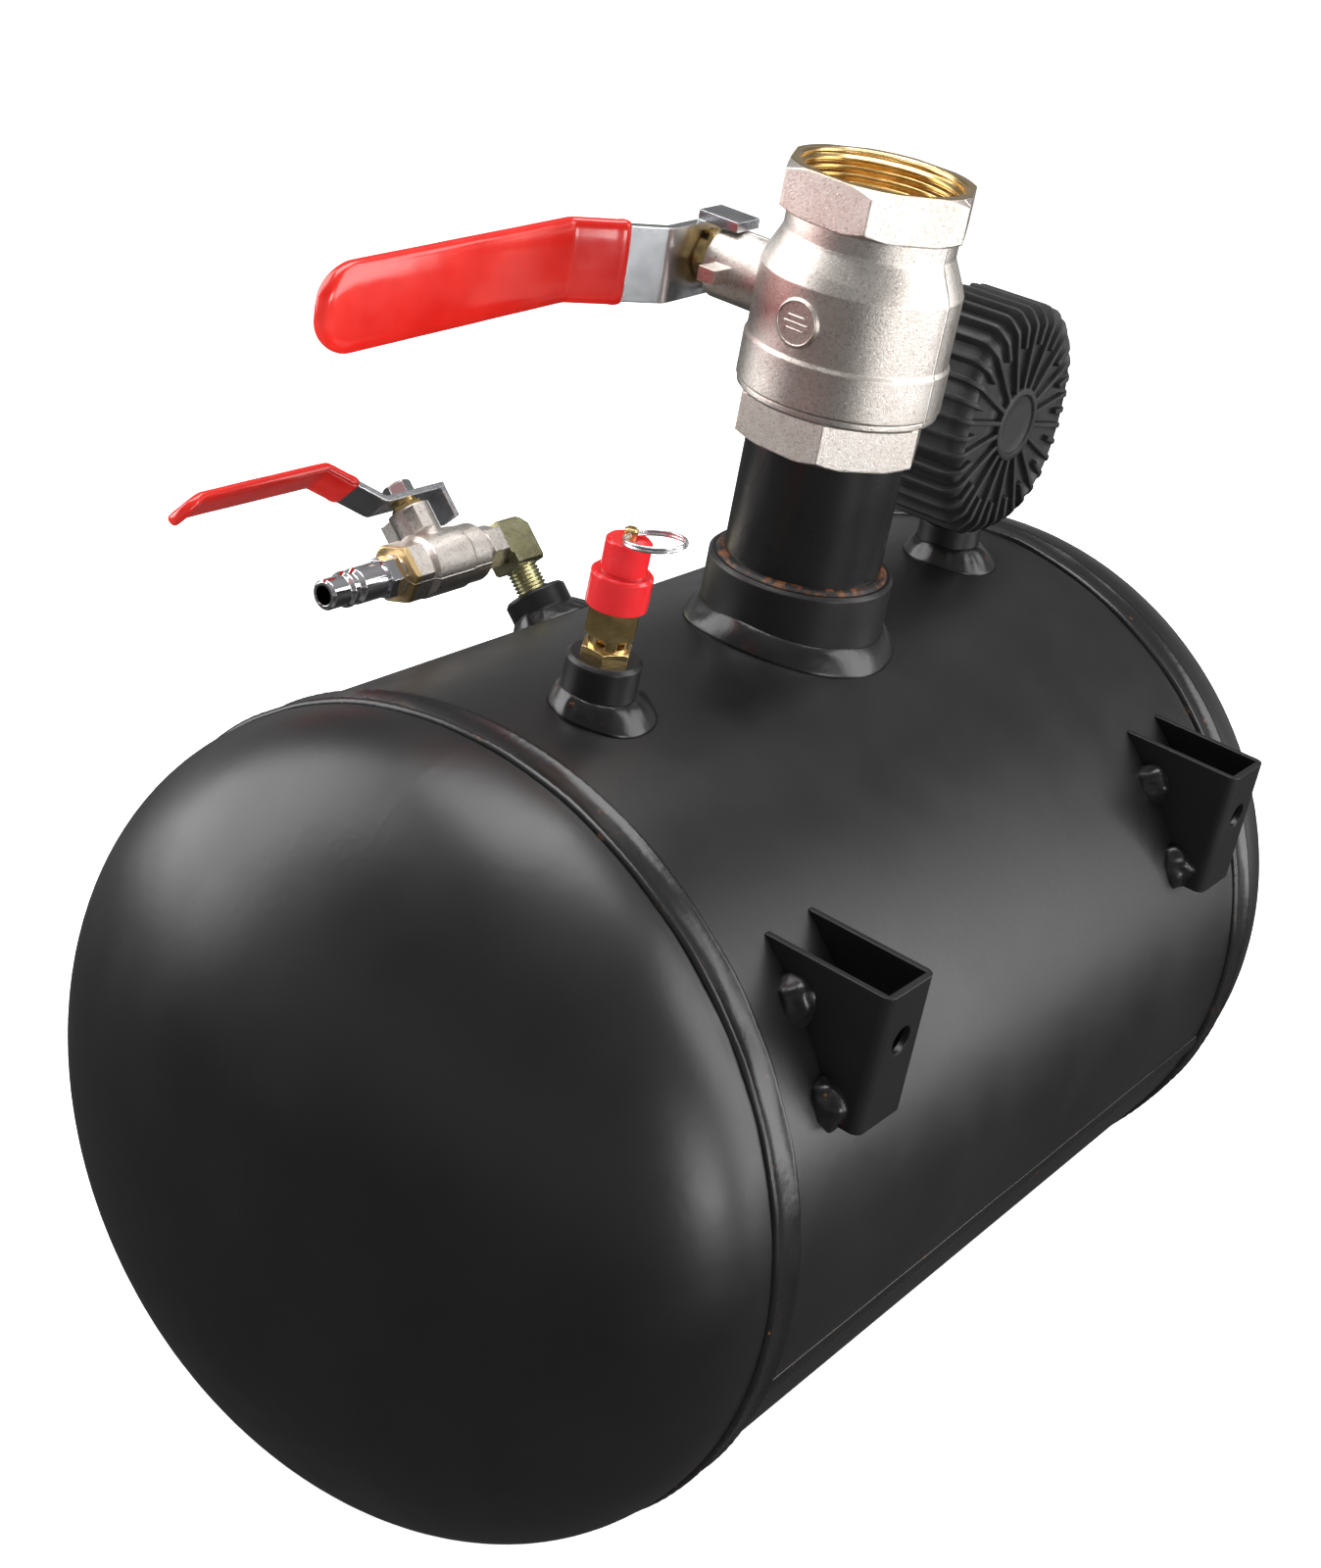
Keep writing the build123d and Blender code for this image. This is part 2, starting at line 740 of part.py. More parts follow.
with BuildPart() as main_grip:
    skin_width = plate_width + 2 * grip_skin
    bent_strip(main_lever_plane, [grip_start_point, (grip_fold, grip_offset), (grip_tip + grip_skin, grip_offset)],
               lever_bend, plate_thick + 2 * grip_skin, skin_width)
    rounded_end(lever_seat, grip_tip + grip_skin, 0, skin_width, 2 * grip_offset)
    add(main_lever_plate.part, mode=Mode.SUBTRACT)
write(main_grip.part, "main_grip")
write(lever_nut(main_stem_plane, lever_nut_flats, main_stem_thread, hub_outer, lever_nut_thick), "main_lever_nut")

# ---------------------------------------------------------------- elbow and small valve

elbow_centre = inlet.offset(elbow_reach).origin
stem_direction = Vector(0, sin(radians(small_stem_angle)), cos(radians(small_stem_angle)))
small_flow = Plane(origin=elbow_centre, x_dir=stem_direction, z_dir=(-1, 0, 0))
small_stem_plane = Plane(
    origin=elbow_centre - Vector(small_stem_x, 0, 0), x_dir=(-1, 0, 0), z_dir=stem_direction
)
small_ball_plane = small_flow.offset(small_stem_x)
elbow_half = elbow_size / 2
thread_start = elbow_reach - elbow_shank

with BuildPart() as elbow:
    with BuildSketch(section(inlet).offset(-elbow_half)):
        with BuildLine():
            Polyline(
                (-elbow_leg, elbow_reach - elbow_half),
                (-elbow_half, elbow_reach - elbow_half),
                (-elbow_half, thread_start),
                (elbow_half, thread_start),
                (elbow_half, elbow_reach + elbow_half - elbow_corner),
                (elbow_half - elbow_corner, elbow_reach + elbow_half),
                (-elbow_leg, elbow_reach + elbow_half),
                close=True,
            )
        make_face()
    extrude(amount=elbow_size)
    chamfer(elbow.edges().filter_by(Axis.X), 1.0)
    rod(inlet, inlet_bore - thread_gap, shell_radius + 1, thread_start)
    turns = int((thread_start - inlet_top + 3) / thread_pitch)
    for turn in range(turns):
        groove = thread_start - (turn + 0.8) * thread_pitch
        turned(
            inlet,
            [
                (inlet_bore, groove + thread_pitch * 0.42),
                (inlet_bore - thread_gap - thread_depth, groove),
                (inlet_bore, groove - thread_pitch * 0.42),
            ],
            mode=Mode.SUBTRACT,
        )
    rod(inlet, small_port, shell_radius, elbow_reach, mode=Mode.SUBTRACT)
    rod(small_flow, small_port, 0, elbow_leg, mode=Mode.SUBTRACT)
    rod(small_flow, small_neck_flats / 2 - 1.4, 1.5, elbow_leg, mode=Mode.SUBTRACT)
write(elbow.part, "elbow")

small_seat_low = sqrt((small_ball + seat_gap) ** 2 - small_seat_outer**2)
small_seat_high = small_ball - 0.6
small_hex_corner = small_flats / sqrt(3)
small_slot_width = 2.2
small_slot_depth = 1.4

with BuildPart() as small_valve_body:
    turned(
        small_flow,
        [
            (0, small_body_start),
            (small_step_radius - 1.6, small_body_start),
            (small_step_radius, small_body_start + 1.8),
            (small_step_radius, small_body_step - 0.4),
            (small_body_radius, small_body_step + 0.4),
            (small_body_radius, small_body_end - 2),
            (small_flats / 2 - 0.2, small_body_end),
            (small_flats / 2 - 0.2, small_body_end + 1),
            (0, small_body_end + 1),
        ],
    )
    hex_bar(small_flow, small_flats, small_body_end, small_end_face)
    corner_cut(small_flow, small_hex_corner, small_end_face, 1.0, -0.6)
    corner_cut(small_flow, small_hex_corner, small_body_end, 1.0, 0.6)
    rod(small_stem_plane, small_boss_radius, 0, small_boss_top)
    block(small_stem_plane, small_boss_top - 9, small_boss_top - 0.8, 5.0, 2 * small_boss_radius + 3.4,
          centre=(small_boss_radius - 3.5, 0))
    turned(
        small_flow,
        [
            (0, small_body_start),
            (small_socket, small_body_start),
            (small_socket, small_stem_x - small_seat_high - 0.6),
            (small_cavity, small_stem_x - small_seat_high),
            (small_cavity, small_stem_x + small_seat_low),
            (small_seat_outer, small_stem_x + small_seat_low),
            (small_seat_outer, small_stem_x + small_seat_high),
            (small_port, small_stem_x + small_seat_high),
            (small_port, small_stem_x + small_seat_high + 1.2),
            (small_thread, small_stem_x + small_seat_high + 3.0),
            (small_thread, small_end_face),
            (0, small_end_face),
        ],
        mode=Mode.SUBTRACT,
    )
    rod(small_stem_plane, small_stem_foot + foot_gap, small_ball - 2, small_foot_top + foot_gap, mode=Mode.SUBTRACT)
    rod(small_stem_plane, small_stem_radius + running_gap, small_foot_top, small_boss_top, mode=Mode.SUBTRACT)
    rod(small_stem_plane, small_gland_thread, small_packing_base, small_boss_top, mode=Mode.SUBTRACT)
write(small_valve_body.part, "small_valve_body")

with BuildPart() as small_valve_end:
    rod(small_flow, small_neck_flats / 2 - 1.4 - thread_gap, 2.0, elbow_leg)
    hex_bar(small_flow, small_neck_flats, elbow_leg, small_neck_end)
    rod(small_flow, small_neck_flats / 2, small_neck_end, small_body_start)
    rod(small_flow, small_socket - thread_gap, small_body_start, small_stem_x - small_seat_high - 0.8)
    rod(small_flow, small_port, 0, small_stem_x, mode=Mode.SUBTRACT)
write(small_valve_end.part, "small_valve_end")

write(
    seat_pair(small_ball_plane, small_ball, small_port, small_seat_outer - thread_gap,
              small_seat_low, small_seat_high, small_seat_high + 0.8),
    "small_seats",
)
write(
    valve_ball_solid(small_flow.offset(small_stem_x), small_stem_plane, small_ball, small_port,
                     small_slot_width, small_slot_depth),
    "small_ball",
)
write(
    ring_piece(small_stem_plane, small_stem_radius + running_gap, small_gland_thread - thread_gap,
               small_packing_base, small_packing_top),
    "small_packing",
)
write(
    gland_nut(small_stem_plane, small_stem_radius + running_gap, small_gland_thread, small_gland_head,
              small_packing_top, small_boss_top, small_gland_thick),
    "small_gland",
)

small_hub_top = small_hub_base + small_plate_thick
with BuildPart() as small_stem:
    turned(
        small_stem_plane,
        [
            (0, small_ball + 0.3),
            (small_stem_foot, small_ball + 0.3),
            (small_stem_foot, small_foot_top),
            (small_stem_radius, small_foot_top),
            (small_stem_radius, small_boss_top + small_gland_thick),
            (small_stem_radius + 1, small_boss_top + small_gland_thick + 0.3),
            (small_stem_radius + 1, small_hub_base),
            (small_stem_thread, small_hub_base),
            (small_stem_thread, small_hub_top + small_nut_thick),
            (small_stem_thread - 0.5, small_hub_top + small_nut_thick + 0.6),
            (0, small_hub_top + small_nut_thick + 0.6),
        ],
    )
    block(small_stem_plane, small_ball - small_slot_depth, small_ball + 0.3,
          1.8 * small_seat_low, small_slot_width)
write(small_stem.part, "small_stem")

small_lever_plane = section(small_stem_plane)
small_hub_middle = small_hub_base + small_plate_thick / 2
small_path = [
    (-small_hub_end, small_hub_middle),
    (small_hub_fold, small_hub_middle),
    (small_grip_fold, small_grip_height),
    (small_tip_fold, small_grip_height),
    (small_tip, small_tip_height),
]
small_slope = (small_grip_height - small_hub_middle) / (small_grip_fold - small_hub_fold)
small_grip_point = (small_grip_start, small_hub_middle + small_slope * (small_grip_start - small_hub_fold))

with BuildPart() as small_lever_plate:
    bent_strip(small_lever_plane, small_path, small_bend, small_plate_thick, small_plate_width)
    rounded_end(small_stem_plane, small_tip, -small_hub_end, small_plate_width, 2 * small_grip_height)
    block(small_stem_plane, small_tab_bottom, small_hub_top, small_plate_thick, small_tab_width,
          centre=(-small_hub_end - small_plate_thick / 2, 0))
    rod(small_stem_plane, small_stem_thread, small_hub_base, small_hub_top, mode=Mode.SUBTRACT)
write(small_lever_plate.part, "small_lever_plate")

with BuildPart() as small_grip:
    small_skin_width = small_plate_width + 2 * small_skin
    tip_run = Vector(small_tip - small_tip_fold, small_tip_height - small_grip_height)
    tip_end = Vector(*small_path[-1]) + tip_run.normalized() * small_skin
    bent_strip(
        small_lever_plane,
        [small_grip_point, *small_path[2:4], (tip_end.X, tip_end.Y)],
        small_bend,
        small_plate_thick + 2 * small_skin,
        small_skin_width,
    )
    rounded_end(small_stem_plane, small_tip + small_skin, 0, small_skin_width, 2 * small_grip_height)
    add(small_lever_plate.part, mode=Mode.SUBTRACT)
write(small_grip.part, "small_grip")
write(lever_nut(small_stem_plane, small_nut_flats, small_stem_thread, small_hub_top, small_nut_thick),
      "small_lever_nut")

with BuildPart() as hose_plug:
    hex_bar(small_flow, plug_flats, small_end_face + 0.4, plug_hex_end)
    plug_corner = plug_flats / sqrt(3)
    corner_cut(small_flow, plug_corner, plug_hex_end, 0.8, -0.5)
    corner_cut(small_flow, plug_corner, small_end_face + 0.4, 0.8, 0.5)
    barrel = plug_tip_radius + 0.9
    groove = plug_tip_radius - 0.3
    turned(
        small_flow,
        [
            (0, small_stem_x + small_seat_high + 3.4),
            (small_thread - thread_gap, small_stem_x + small_seat_high + 3.4),
            (small_thread - thread_gap, small_end_face + 0.4),
            (groove, small_end_face + 0.4),
            (groove, plug_hex_end + 0.8),
            (barrel, plug_hex_end + 1.6),
            (barrel, plug_tip - 13.2),
            (groove, plug_tip - 11.8),
            (groove, plug_tip - 10.4),
            (barrel, plug_tip - 9.6),
            (barrel, plug_tip - 8.6),
            (plug_tip_radius, plug_tip - 7.4),
            (plug_tip_radius, plug_tip - 0.8),
            (plug_tip_radius - 0.8, plug_tip),
            (0, plug_tip),
        ],
    )
    rod(small_flow, plug_bore, small_stem_x, plug_tip, mode=Mode.SUBTRACT)
write(hose_plug.part, "hose_plug")

# ---------------------------------------------------------------- relief valve

relief_seat = relief.offset(relief_top)
disc_low = 4.4
disc_high = 6.2
ring_eye_height = relief_cap_top + ring_height / 2 + ring_clearance

with BuildPart() as relief_body:
    rod(relief_seat, bung_bore - thread_gap, -10, 0)
    hex_bar(relief_seat, relief_base_flats, 0, relief_base_top, turn=30)
    rod(relief_seat, relief_base_flats / 2 - 0.8, relief_base_top, relief_notch_top)
    hex_bar(relief_seat, relief_hex_flats, relief_notch_top, relief_hex_top, turn=30)
    relief_corner = relief_hex_flats / sqrt(3)
    corner_cut(relief_seat, relief_corner, relief_notch_top, 1.0, 0.5)
    corner_cut(relief_seat, relief_corner, relief_base_top, 1.0, -0.5)
    rod(relief_seat, 2.2, -10, 4.1, mode=Mode.SUBTRACT)
    rod(relief_seat, relief_bore, 4.1, relief_hex_top, mode=Mode.SUBTRACT)
    for vent in range(3):
        vent_plane = Plane(relief_seat.offset((relief_base_top + relief_notch_top) / 2).origin,
                           x_dir=relief_seat.z_dir,
                           z_dir=relief_seat.x_dir.rotate(Axis((0, 0, 0), relief_seat.z_dir), 60 * vent + 15))
        block(vent_plane, -relief_hex_flats, relief_hex_flats, 2.2, 2.6, mode=Mode.SUBTRACT)
write(relief_body.part, "relief_body")

with BuildPart() as relief_cap:
    turned(
        relief_seat,
        [
            (relief_corner + 0.1, relief_cap_base),
            (relief_skirt_radius, relief_cap_base),
            (relief_skirt_radius, relief_skirt_top - 0.7),
            (relief_skirt_radius - 0.7, relief_skirt_top),
            (relief_cap_radius, relief_skirt_top),
            (relief_cap_radius, relief_cap_top - 0.6),
            (relief_cap_radius - 0.6, relief_cap_top),
            (relief_pin_radius + 0.1, relief_cap_top),
            (relief_pin_radius + 0.1, relief_cap_top - 2),
            (relief_bore, relief_cap_top - 2),
            (relief_bore, relief_hex_top),
            (relief_corner + 0.1, relief_hex_top),
        ],
    )
write(relief_cap.part, "relief_cap")

with BuildPart() as relief_disc:
    turned(relief_seat, [(0, disc_low), (3.6, disc_low), (3.6, disc_high), (1.5, disc_high), (1.5, disc_low + 0.8),
                         (0, disc_low + 0.8)])
write(relief_disc.part, "relief_disc")

with BuildPart() as relief_stem:
    turned(
        relief_seat,
        [
            (0, disc_low + 0.8),
            (1.5, disc_low + 0.8),
            (1.5, disc_high),
            (relief_pin_radius, disc_high),
            (relief_pin_radius, relief_pin_top - 0.5),
            (relief_pin_radius - 0.5, relief_pin_top),
            (0, relief_pin_top),
        ],
    )
    eye_plane = Plane(relief_seat.offset(ring_eye_height).origin, x_dir=relief_seat.y_dir,
                      z_dir=relief_seat.x_dir)
    rod(eye_plane, ring_eye_radius, -2 * relief_pin_radius, 2 * relief_pin_radius, mode=Mode.SUBTRACT)
write(relief_stem.part, "relief_stem")

with BuildPart() as relief_spring:
    spring_low = disc_high + spring_wire + 0.3
    spring_high = relief_cap_top - 2 - spring_wire - 0.3
    with BuildLine() as coils:
        Helix(spring_pitch, spring_high - spring_low, spring_radius,
              center=relief_seat.offset(spring_low).origin, direction=relief_seat.z_dir)
    with BuildSketch(Plane(origin=coils.line @ 0, z_dir=coils.line % 0)):
        Circle(spring_wire)
    sweep(path=coils.line, is_frenet=True)
write(relief_spring.part, "relief_spring")

with BuildPart() as pull_ring:
    ring_centre = relief_seat.offset(ring_eye_height).origin - relief_seat.y_dir * ring_radius
    ring_plane = Plane(origin=ring_centre, x_dir=relief_seat.x_dir, z_dir=relief_seat.z_dir)
    with BuildSketch(section(ring_plane)):
        with Locations((ring_radius, 0)):
            RectangleRounded(ring_width, ring_height, ring_width / 2 - 0.01)
    revolve(axis=Axis(ring_plane.origin, ring_plane.z_dir))
write(pull_ring.part, "pull_ring")

# ---------------------------------------------------------------- gauge

gauge_centre = gauge_foot.offset(gauge_reach).origin
dial_plane = Plane(origin=gauge_centre, x_dir=(-1, 0, 0), z_dir=gauge_foot.y_dir)
stem_neck = stem_flats / 2 - 1.5
stem_neck_top = gauge_reach - dial_radius
socket_top = gauge_reach - tube_radius + 4

with BuildPart() as gauge_socket:
    rod(gauge_foot, bung_bore - thread_gap, shell_radius - 1, gauge_top)
    hex_bar(gauge_foot, stem_flats, gauge_top, gauge_top + stem_hex_height)
    rod(gauge_foot, stem_neck, gauge_top + stem_hex_height, stem_neck_top)
    block(gauge_foot, stem_neck_top, socket_top, socket_width, 2 * dial_back - 0.4)
    rod(gauge_foot, 2.0, shell_radius - 1, stem_neck_top + 3, mode=Mode.SUBTRACT)
write(gauge_socket.part, "gauge_socket")

with BuildPart() as gauge_case:
    rod(dial_plane, case_radius, case_back, case_front)
    rod(dial_plane, case_radius - case_wall, case_back + case_wall, case_front, mode=Mode.SUBTRACT)
    rod(gauge_foot, stem_neck + thread_gap, gauge_top, gauge_reach - case_radius / 2, mode=Mode.SUBTRACT)
write(gauge_case.part, "gauge_case")

with BuildPart() as gauge_bezel:
    turned(
        dial_plane,
        [
            (case_radius, case_front),
            (case_radius, bezel_front - 0.8),
            (case_radius - 0.8, bezel_front),
            (bezel_lip, bezel_front),
            (bezel_lip - 0.8, case_front),
        ],
    )
write(gauge_bezel.part, "gauge_bezel")

with BuildPart() as gauge_lens:
    rod(dial_plane, case_radius - case_wall, lens_back, case_front)
write(gauge_lens.part, "gauge_lens")

with BuildPart() as gauge_dial:
    rod(dial_plane, dial_radius, dial_back, dial_back + dial_thick)
    rod(dial_plane, arbor_radius + 0.6, dial_back, dial_back + dial_thick, mode=Mode.SUBTRACT)
write(gauge_dial.part, "gauge_dial")

with BuildPart() as gauge_movement:
    movement_size = 22.0
    block(dial_plane, case_back + case_wall + 5, dial_back, movement_size, 14.0)
    block(dial_plane, case_back + case_wall, case_back + case_wall + 5, 8.0, 8.0, centre=(0, 4.0))
    rod(dial_plane, arbor_radius + running_gap, case_back + case_wall, dial_back, mode=Mode.SUBTRACT)
write(gauge_movement.part, "gauge_movement")

with BuildPart() as bourdon_tube:
    tube_start = asin((socket_width / 2 + 0.2) / (tube_radius - tube_width / 2)) - pi / 2
    tube_plane = Plane(
        origin=gauge_centre - dial_plane.z_dir * 3.0,
        x_dir=dial_plane.x_dir * cos(tube_start) + dial_plane.y_dir * sin(tube_start),
        z_dir=dial_plane.z_dir,
    )
    with BuildSketch(section(tube_plane)):
        with Locations((tube_radius, 0)):
            RectangleRounded(tube_width, 6.0, 1.1)
    revolve(axis=Axis(tube_plane.origin, tube_plane.z_dir), revolution_arc=250)
write(bourdon_tube.part, "bourdon_tube")

with BuildPart() as gauge_pointer:
    needle_back = dial_back + dial_thick + 1.5
    zero = radians(needle_zero)
    needle_turn = Plane(
        origin=gauge_centre,
        x_dir=dial_plane.x_dir * cos(zero) + dial_plane.y_dir * sin(zero),
        z_dir=dial_plane.z_dir,
    )
    rod(dial_plane, arbor_radius, case_back + case_wall + 6, needle_back + 1.4)
    rod(dial_plane, arbor_hub, needle_back, needle_back + 1.0)
    with BuildSketch(needle_turn.offset(needle_back)):
        with BuildLine():
            Polyline((-needle_tail, -1.6), (-needle_tail, 1.6), (needle_length, 0.3), (needle_length, -0.3),
                     close=True)
        make_face()
    extrude(amount=0.8)
write(gauge_pointer.part, "gauge_pointer")

with BuildPart() as gauge_boot:
    turned(
        dial_plane,
        [
            (0, case_back),
            (case_radius, case_back),
            (case_radius, bezel_front),
            (boot_lip, bezel_front),
            (boot_lip, boot_front - edge_break),
            (boot_lip + edge_break, boot_front),
            (boot_radius - edge_break, boot_front),
            (boot_radius, boot_front - 2 * edge_break),
            (boot_radius, boot_rim + rib_corner / 2),
            (boot_radius - rib_corner / 2, boot_rim),
            (boot_hub, boot_rim),
            (boot_hub, boot_back),
            (boot_hub_inner, boot_back),
            (boot_hub_inner, boot_back + boot_recess),
            (0, boot_back + boot_recess),
        ],
    )
    rib_tip = boot_radius + rib_height
    for rib in range(rib_count):
        rib_angle = 2 * pi * rib / rib_count + pi / 2
        rib_plane = Plane(
            origin=gauge_centre,
            x_dir=dial_plane.x_dir * cos(rib_angle) + dial_plane.y_dir * sin(rib_angle),
            z_dir=dial_plane.z_dir,
        )
        rib_start = rib_inner if rib % 2 else boot_hub - edge_break
        with BuildSketch(section(rib_plane).offset(-rib_width / 2)):
            with BuildLine():
                Polyline(
                    (boot_radius - edge_break, boot_front - 4.0),
                    (rib_tip, boot_front - 5.0),
                    (rib_tip, boot_back + rib_corner),
                    (rib_tip - rib_corner, boot_back + 0.3),
                    (rib_start, boot_back + 0.3),
                    (rib_start, boot_rim + edge_break),
                    (boot_radius - rib_corner, boot_rim + edge_break),
                    (boot_radius - edge_break, boot_rim + rib_corner),
                    close=True,
                )
            make_face()
        extrude(amount=rib_width)
    block(gauge_foot, gauge_top, gauge_reach - case_radius / 2, boot_window, boot_window,
          mode=Mode.SUBTRACT)
write(gauge_boot.part, "gauge_boot")
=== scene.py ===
"""Looks of the air receiver tank: paint, plating, welds, grips, boot, dial, ring, light, camera."""
import json
from math import atan2, cos, exp, pi, radians, sin, sqrt

import bmesh
import bpy
from mathutils import Matrix, Vector, noise


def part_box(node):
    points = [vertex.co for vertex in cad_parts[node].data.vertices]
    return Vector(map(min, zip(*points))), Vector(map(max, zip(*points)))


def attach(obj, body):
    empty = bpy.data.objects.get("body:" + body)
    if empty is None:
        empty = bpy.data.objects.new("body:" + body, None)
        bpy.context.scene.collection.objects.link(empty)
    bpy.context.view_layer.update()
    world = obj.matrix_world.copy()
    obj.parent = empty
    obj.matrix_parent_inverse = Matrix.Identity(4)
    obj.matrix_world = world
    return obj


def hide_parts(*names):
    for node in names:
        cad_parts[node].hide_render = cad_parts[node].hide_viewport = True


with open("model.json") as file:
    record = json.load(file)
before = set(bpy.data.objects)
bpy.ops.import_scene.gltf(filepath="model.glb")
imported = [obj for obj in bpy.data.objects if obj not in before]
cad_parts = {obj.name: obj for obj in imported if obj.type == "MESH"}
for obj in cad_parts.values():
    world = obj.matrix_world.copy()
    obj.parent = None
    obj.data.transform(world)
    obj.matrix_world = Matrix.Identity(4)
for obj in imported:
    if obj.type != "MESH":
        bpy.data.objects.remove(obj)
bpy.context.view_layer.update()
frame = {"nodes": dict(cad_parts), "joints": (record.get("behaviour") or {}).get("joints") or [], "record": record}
scene = bpy.context.scene
MM = 0.001
joints = {joint["name"]: joint for joint in frame["joints"]}

# The tank lies along x. TANK is the middle of its axis.
shell_low, shell_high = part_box("shell")
TANK_R = (shell_high.z - shell_low.z) / 2
TANK = Vector((0, (shell_low.y + shell_high.y) / 2, (shell_low.z + shell_high.z) / 2))
JOINT_X = shell_high.x
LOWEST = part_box("near_girth_weld")[0].z

# The main valve stands on the outlet, at x = 0.
VALVE_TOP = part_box("main_valve_body")[1].z
BORE = 23.9 * MM
main_stem = Vector(joints["main_valve_turn"]["pos_m"])
small_stem = Vector(joints["small_valve_turn"]["pos_m"])


# ------------------------------------------------------------------ materials


class Finish:
    """A node material in object coordinates, built a few nodes at a time.

    Noise scales are per metre; edge radii and bump depths are in metres.
    """

    def __init__(self, name, **constants):
        self.material = bpy.data.materials.new(name)
        self.material.use_nodes = True
        self.tree = self.material.node_tree
        self.shader = self.tree.nodes["Principled BSDF"]
        for key, value in constants.items():
            self.shader.inputs[key.replace("_", " ")].default_value = value
        self.place = self.node("ShaderNodeTexCoord").outputs["Object"]

    def node(self, kind, sources=None, **settings):
        made = self.tree.nodes.new(kind)
        for key, value in settings.items():
            setattr(made, key, value)
        for key, source in (sources or {}).items():
            if isinstance(source, bpy.types.NodeSocket):
                self.tree.links.new(source, made.inputs[key])
            else:
                made.inputs[key].default_value = source
        return made

    def math(self, operation, *values):
        made = self.node("ShaderNodeMath", dict(enumerate(values)), operation=operation)
        return made.outputs[0]

    def noise(self, scale, detail=3.0, roughness=0.55, stretch=None, distortion=0.0):
        place = self.place
        if stretch:
            mapping = self.node("ShaderNodeMapping", {"Vector": place, "Scale": stretch})
            place = mapping.outputs[0]
        sources = {"Vector": place, "Scale": scale, "Detail": detail,
                   "Roughness": roughness, "Distortion": distortion}
        return self.node("ShaderNodeTexNoise", sources).outputs[0]

    def spots(self, scale):
        made = self.node("ShaderNodeTexVoronoi", {"Vector": self.place, "Scale": scale})
        return made.outputs["Distance"]

    def between(self, value, low, high, start=0.0, end=1.0):
        """start where value is at low or less, end where it is at high or more."""
        sources = {"Value": value, "From Min": low, "From Max": high,
                   "To Min": start, "To Max": end}
        return self.node("ShaderNodeMapRange", sources).outputs[0]

    def mix(self, amount, first, second):
        """Colour mix; 6, 7 and 2 are the colour sockets of the Mix node."""
        sources = {"Factor": amount, 6: first, 7: second}
        return self.node("ShaderNodeMix", sources, data_type="RGBA").outputs[2]

    def bump(self, level, depth, strength, normal=None):
        sources = {"Height": level, "Distance": depth, "Strength": strength}
        if normal:
            sources["Normal"] = normal
        return self.node("ShaderNodeBump", sources).outputs[0]

    def soft_edge(self, radius):
        return self.node("ShaderNodeBevel", {"Radius": radius}, samples=6).outputs[0]

    def edges(self, radius, low=0.02, high=0.25):
        """1 along sharp edges and 0 elsewhere."""
        flat = self.node("ShaderNodeNewGeometry").outputs["Normal"]
        sources = {0: self.soft_edge(radius), 1: flat}
        turned = self.node("ShaderNodeVectorMath", sources, operation="DOT_PRODUCT")
        return self.between(self.math("SUBTRACT", 1.0, turned.outputs["Value"]), low, high)

    def axis(self, name):
        return self.node("ShaderNodeSeparateXYZ", {0: self.place}).outputs[name]

    def set(self, **sources):
        for key, source in sources.items():
            self.tree.links.new(source, self.shader.inputs[key.replace("_", " ")])


def rgb(red, green, blue):
    return (red, green, blue, 1.0)


def black_paint(name, rust=0.0, gloss=0.35, peel=0.05):
    """Satin paint with dust specks and orange peel; rust blooms through it where rust is set."""
    f = Finish(name, IOR=1.5)
    cloud = f.between(f.noise(9.0, detail=4.0), 0.35, 0.7)
    colour = f.mix(cloud, rgb(0.0055, 0.0055, 0.0060), rgb(0.0095, 0.0092, 0.0092))
    specks = f.between(f.spots(520.0), 0.05, 0.11, start=1.0, end=0.0)
    dusty = f.between(f.noise(70.0, detail=2.0), 0.62, 0.70)
    dust = f.math("MULTIPLY", specks, f.math("MULTIPLY", dusty, 0.35))
    colour = f.mix(dust, colour, rgb(0.09, 0.085, 0.08))
    if rust:
        bloom = f.between(f.noise(230.0, detail=6.0, roughness=0.7), 0.66 - rust, 0.76 - rust)
        tint = f.mix(f.noise(900.0), rgb(0.10, 0.030, 0.010), rgb(0.28, 0.10, 0.03))
        colour = f.mix(bloom, colour, tint)
    rough = f.between(f.noise(38.0, detail=5.0), 0.2, 0.8, gloss - 0.05, gloss + 0.07)
    fine = f.noise(480.0, detail=2.0, roughness=0.4)
    orange_peel = f.bump(fine, depth=0.0006, strength=peel, normal=f.soft_edge(0.0006))
    waves = f.bump(f.noise(26.0, detail=2.0), depth=0.004, strength=0.020, normal=orange_peel)
    f.set(Base_Color=colour, Roughness=rough, Normal=waves)
    return f.material


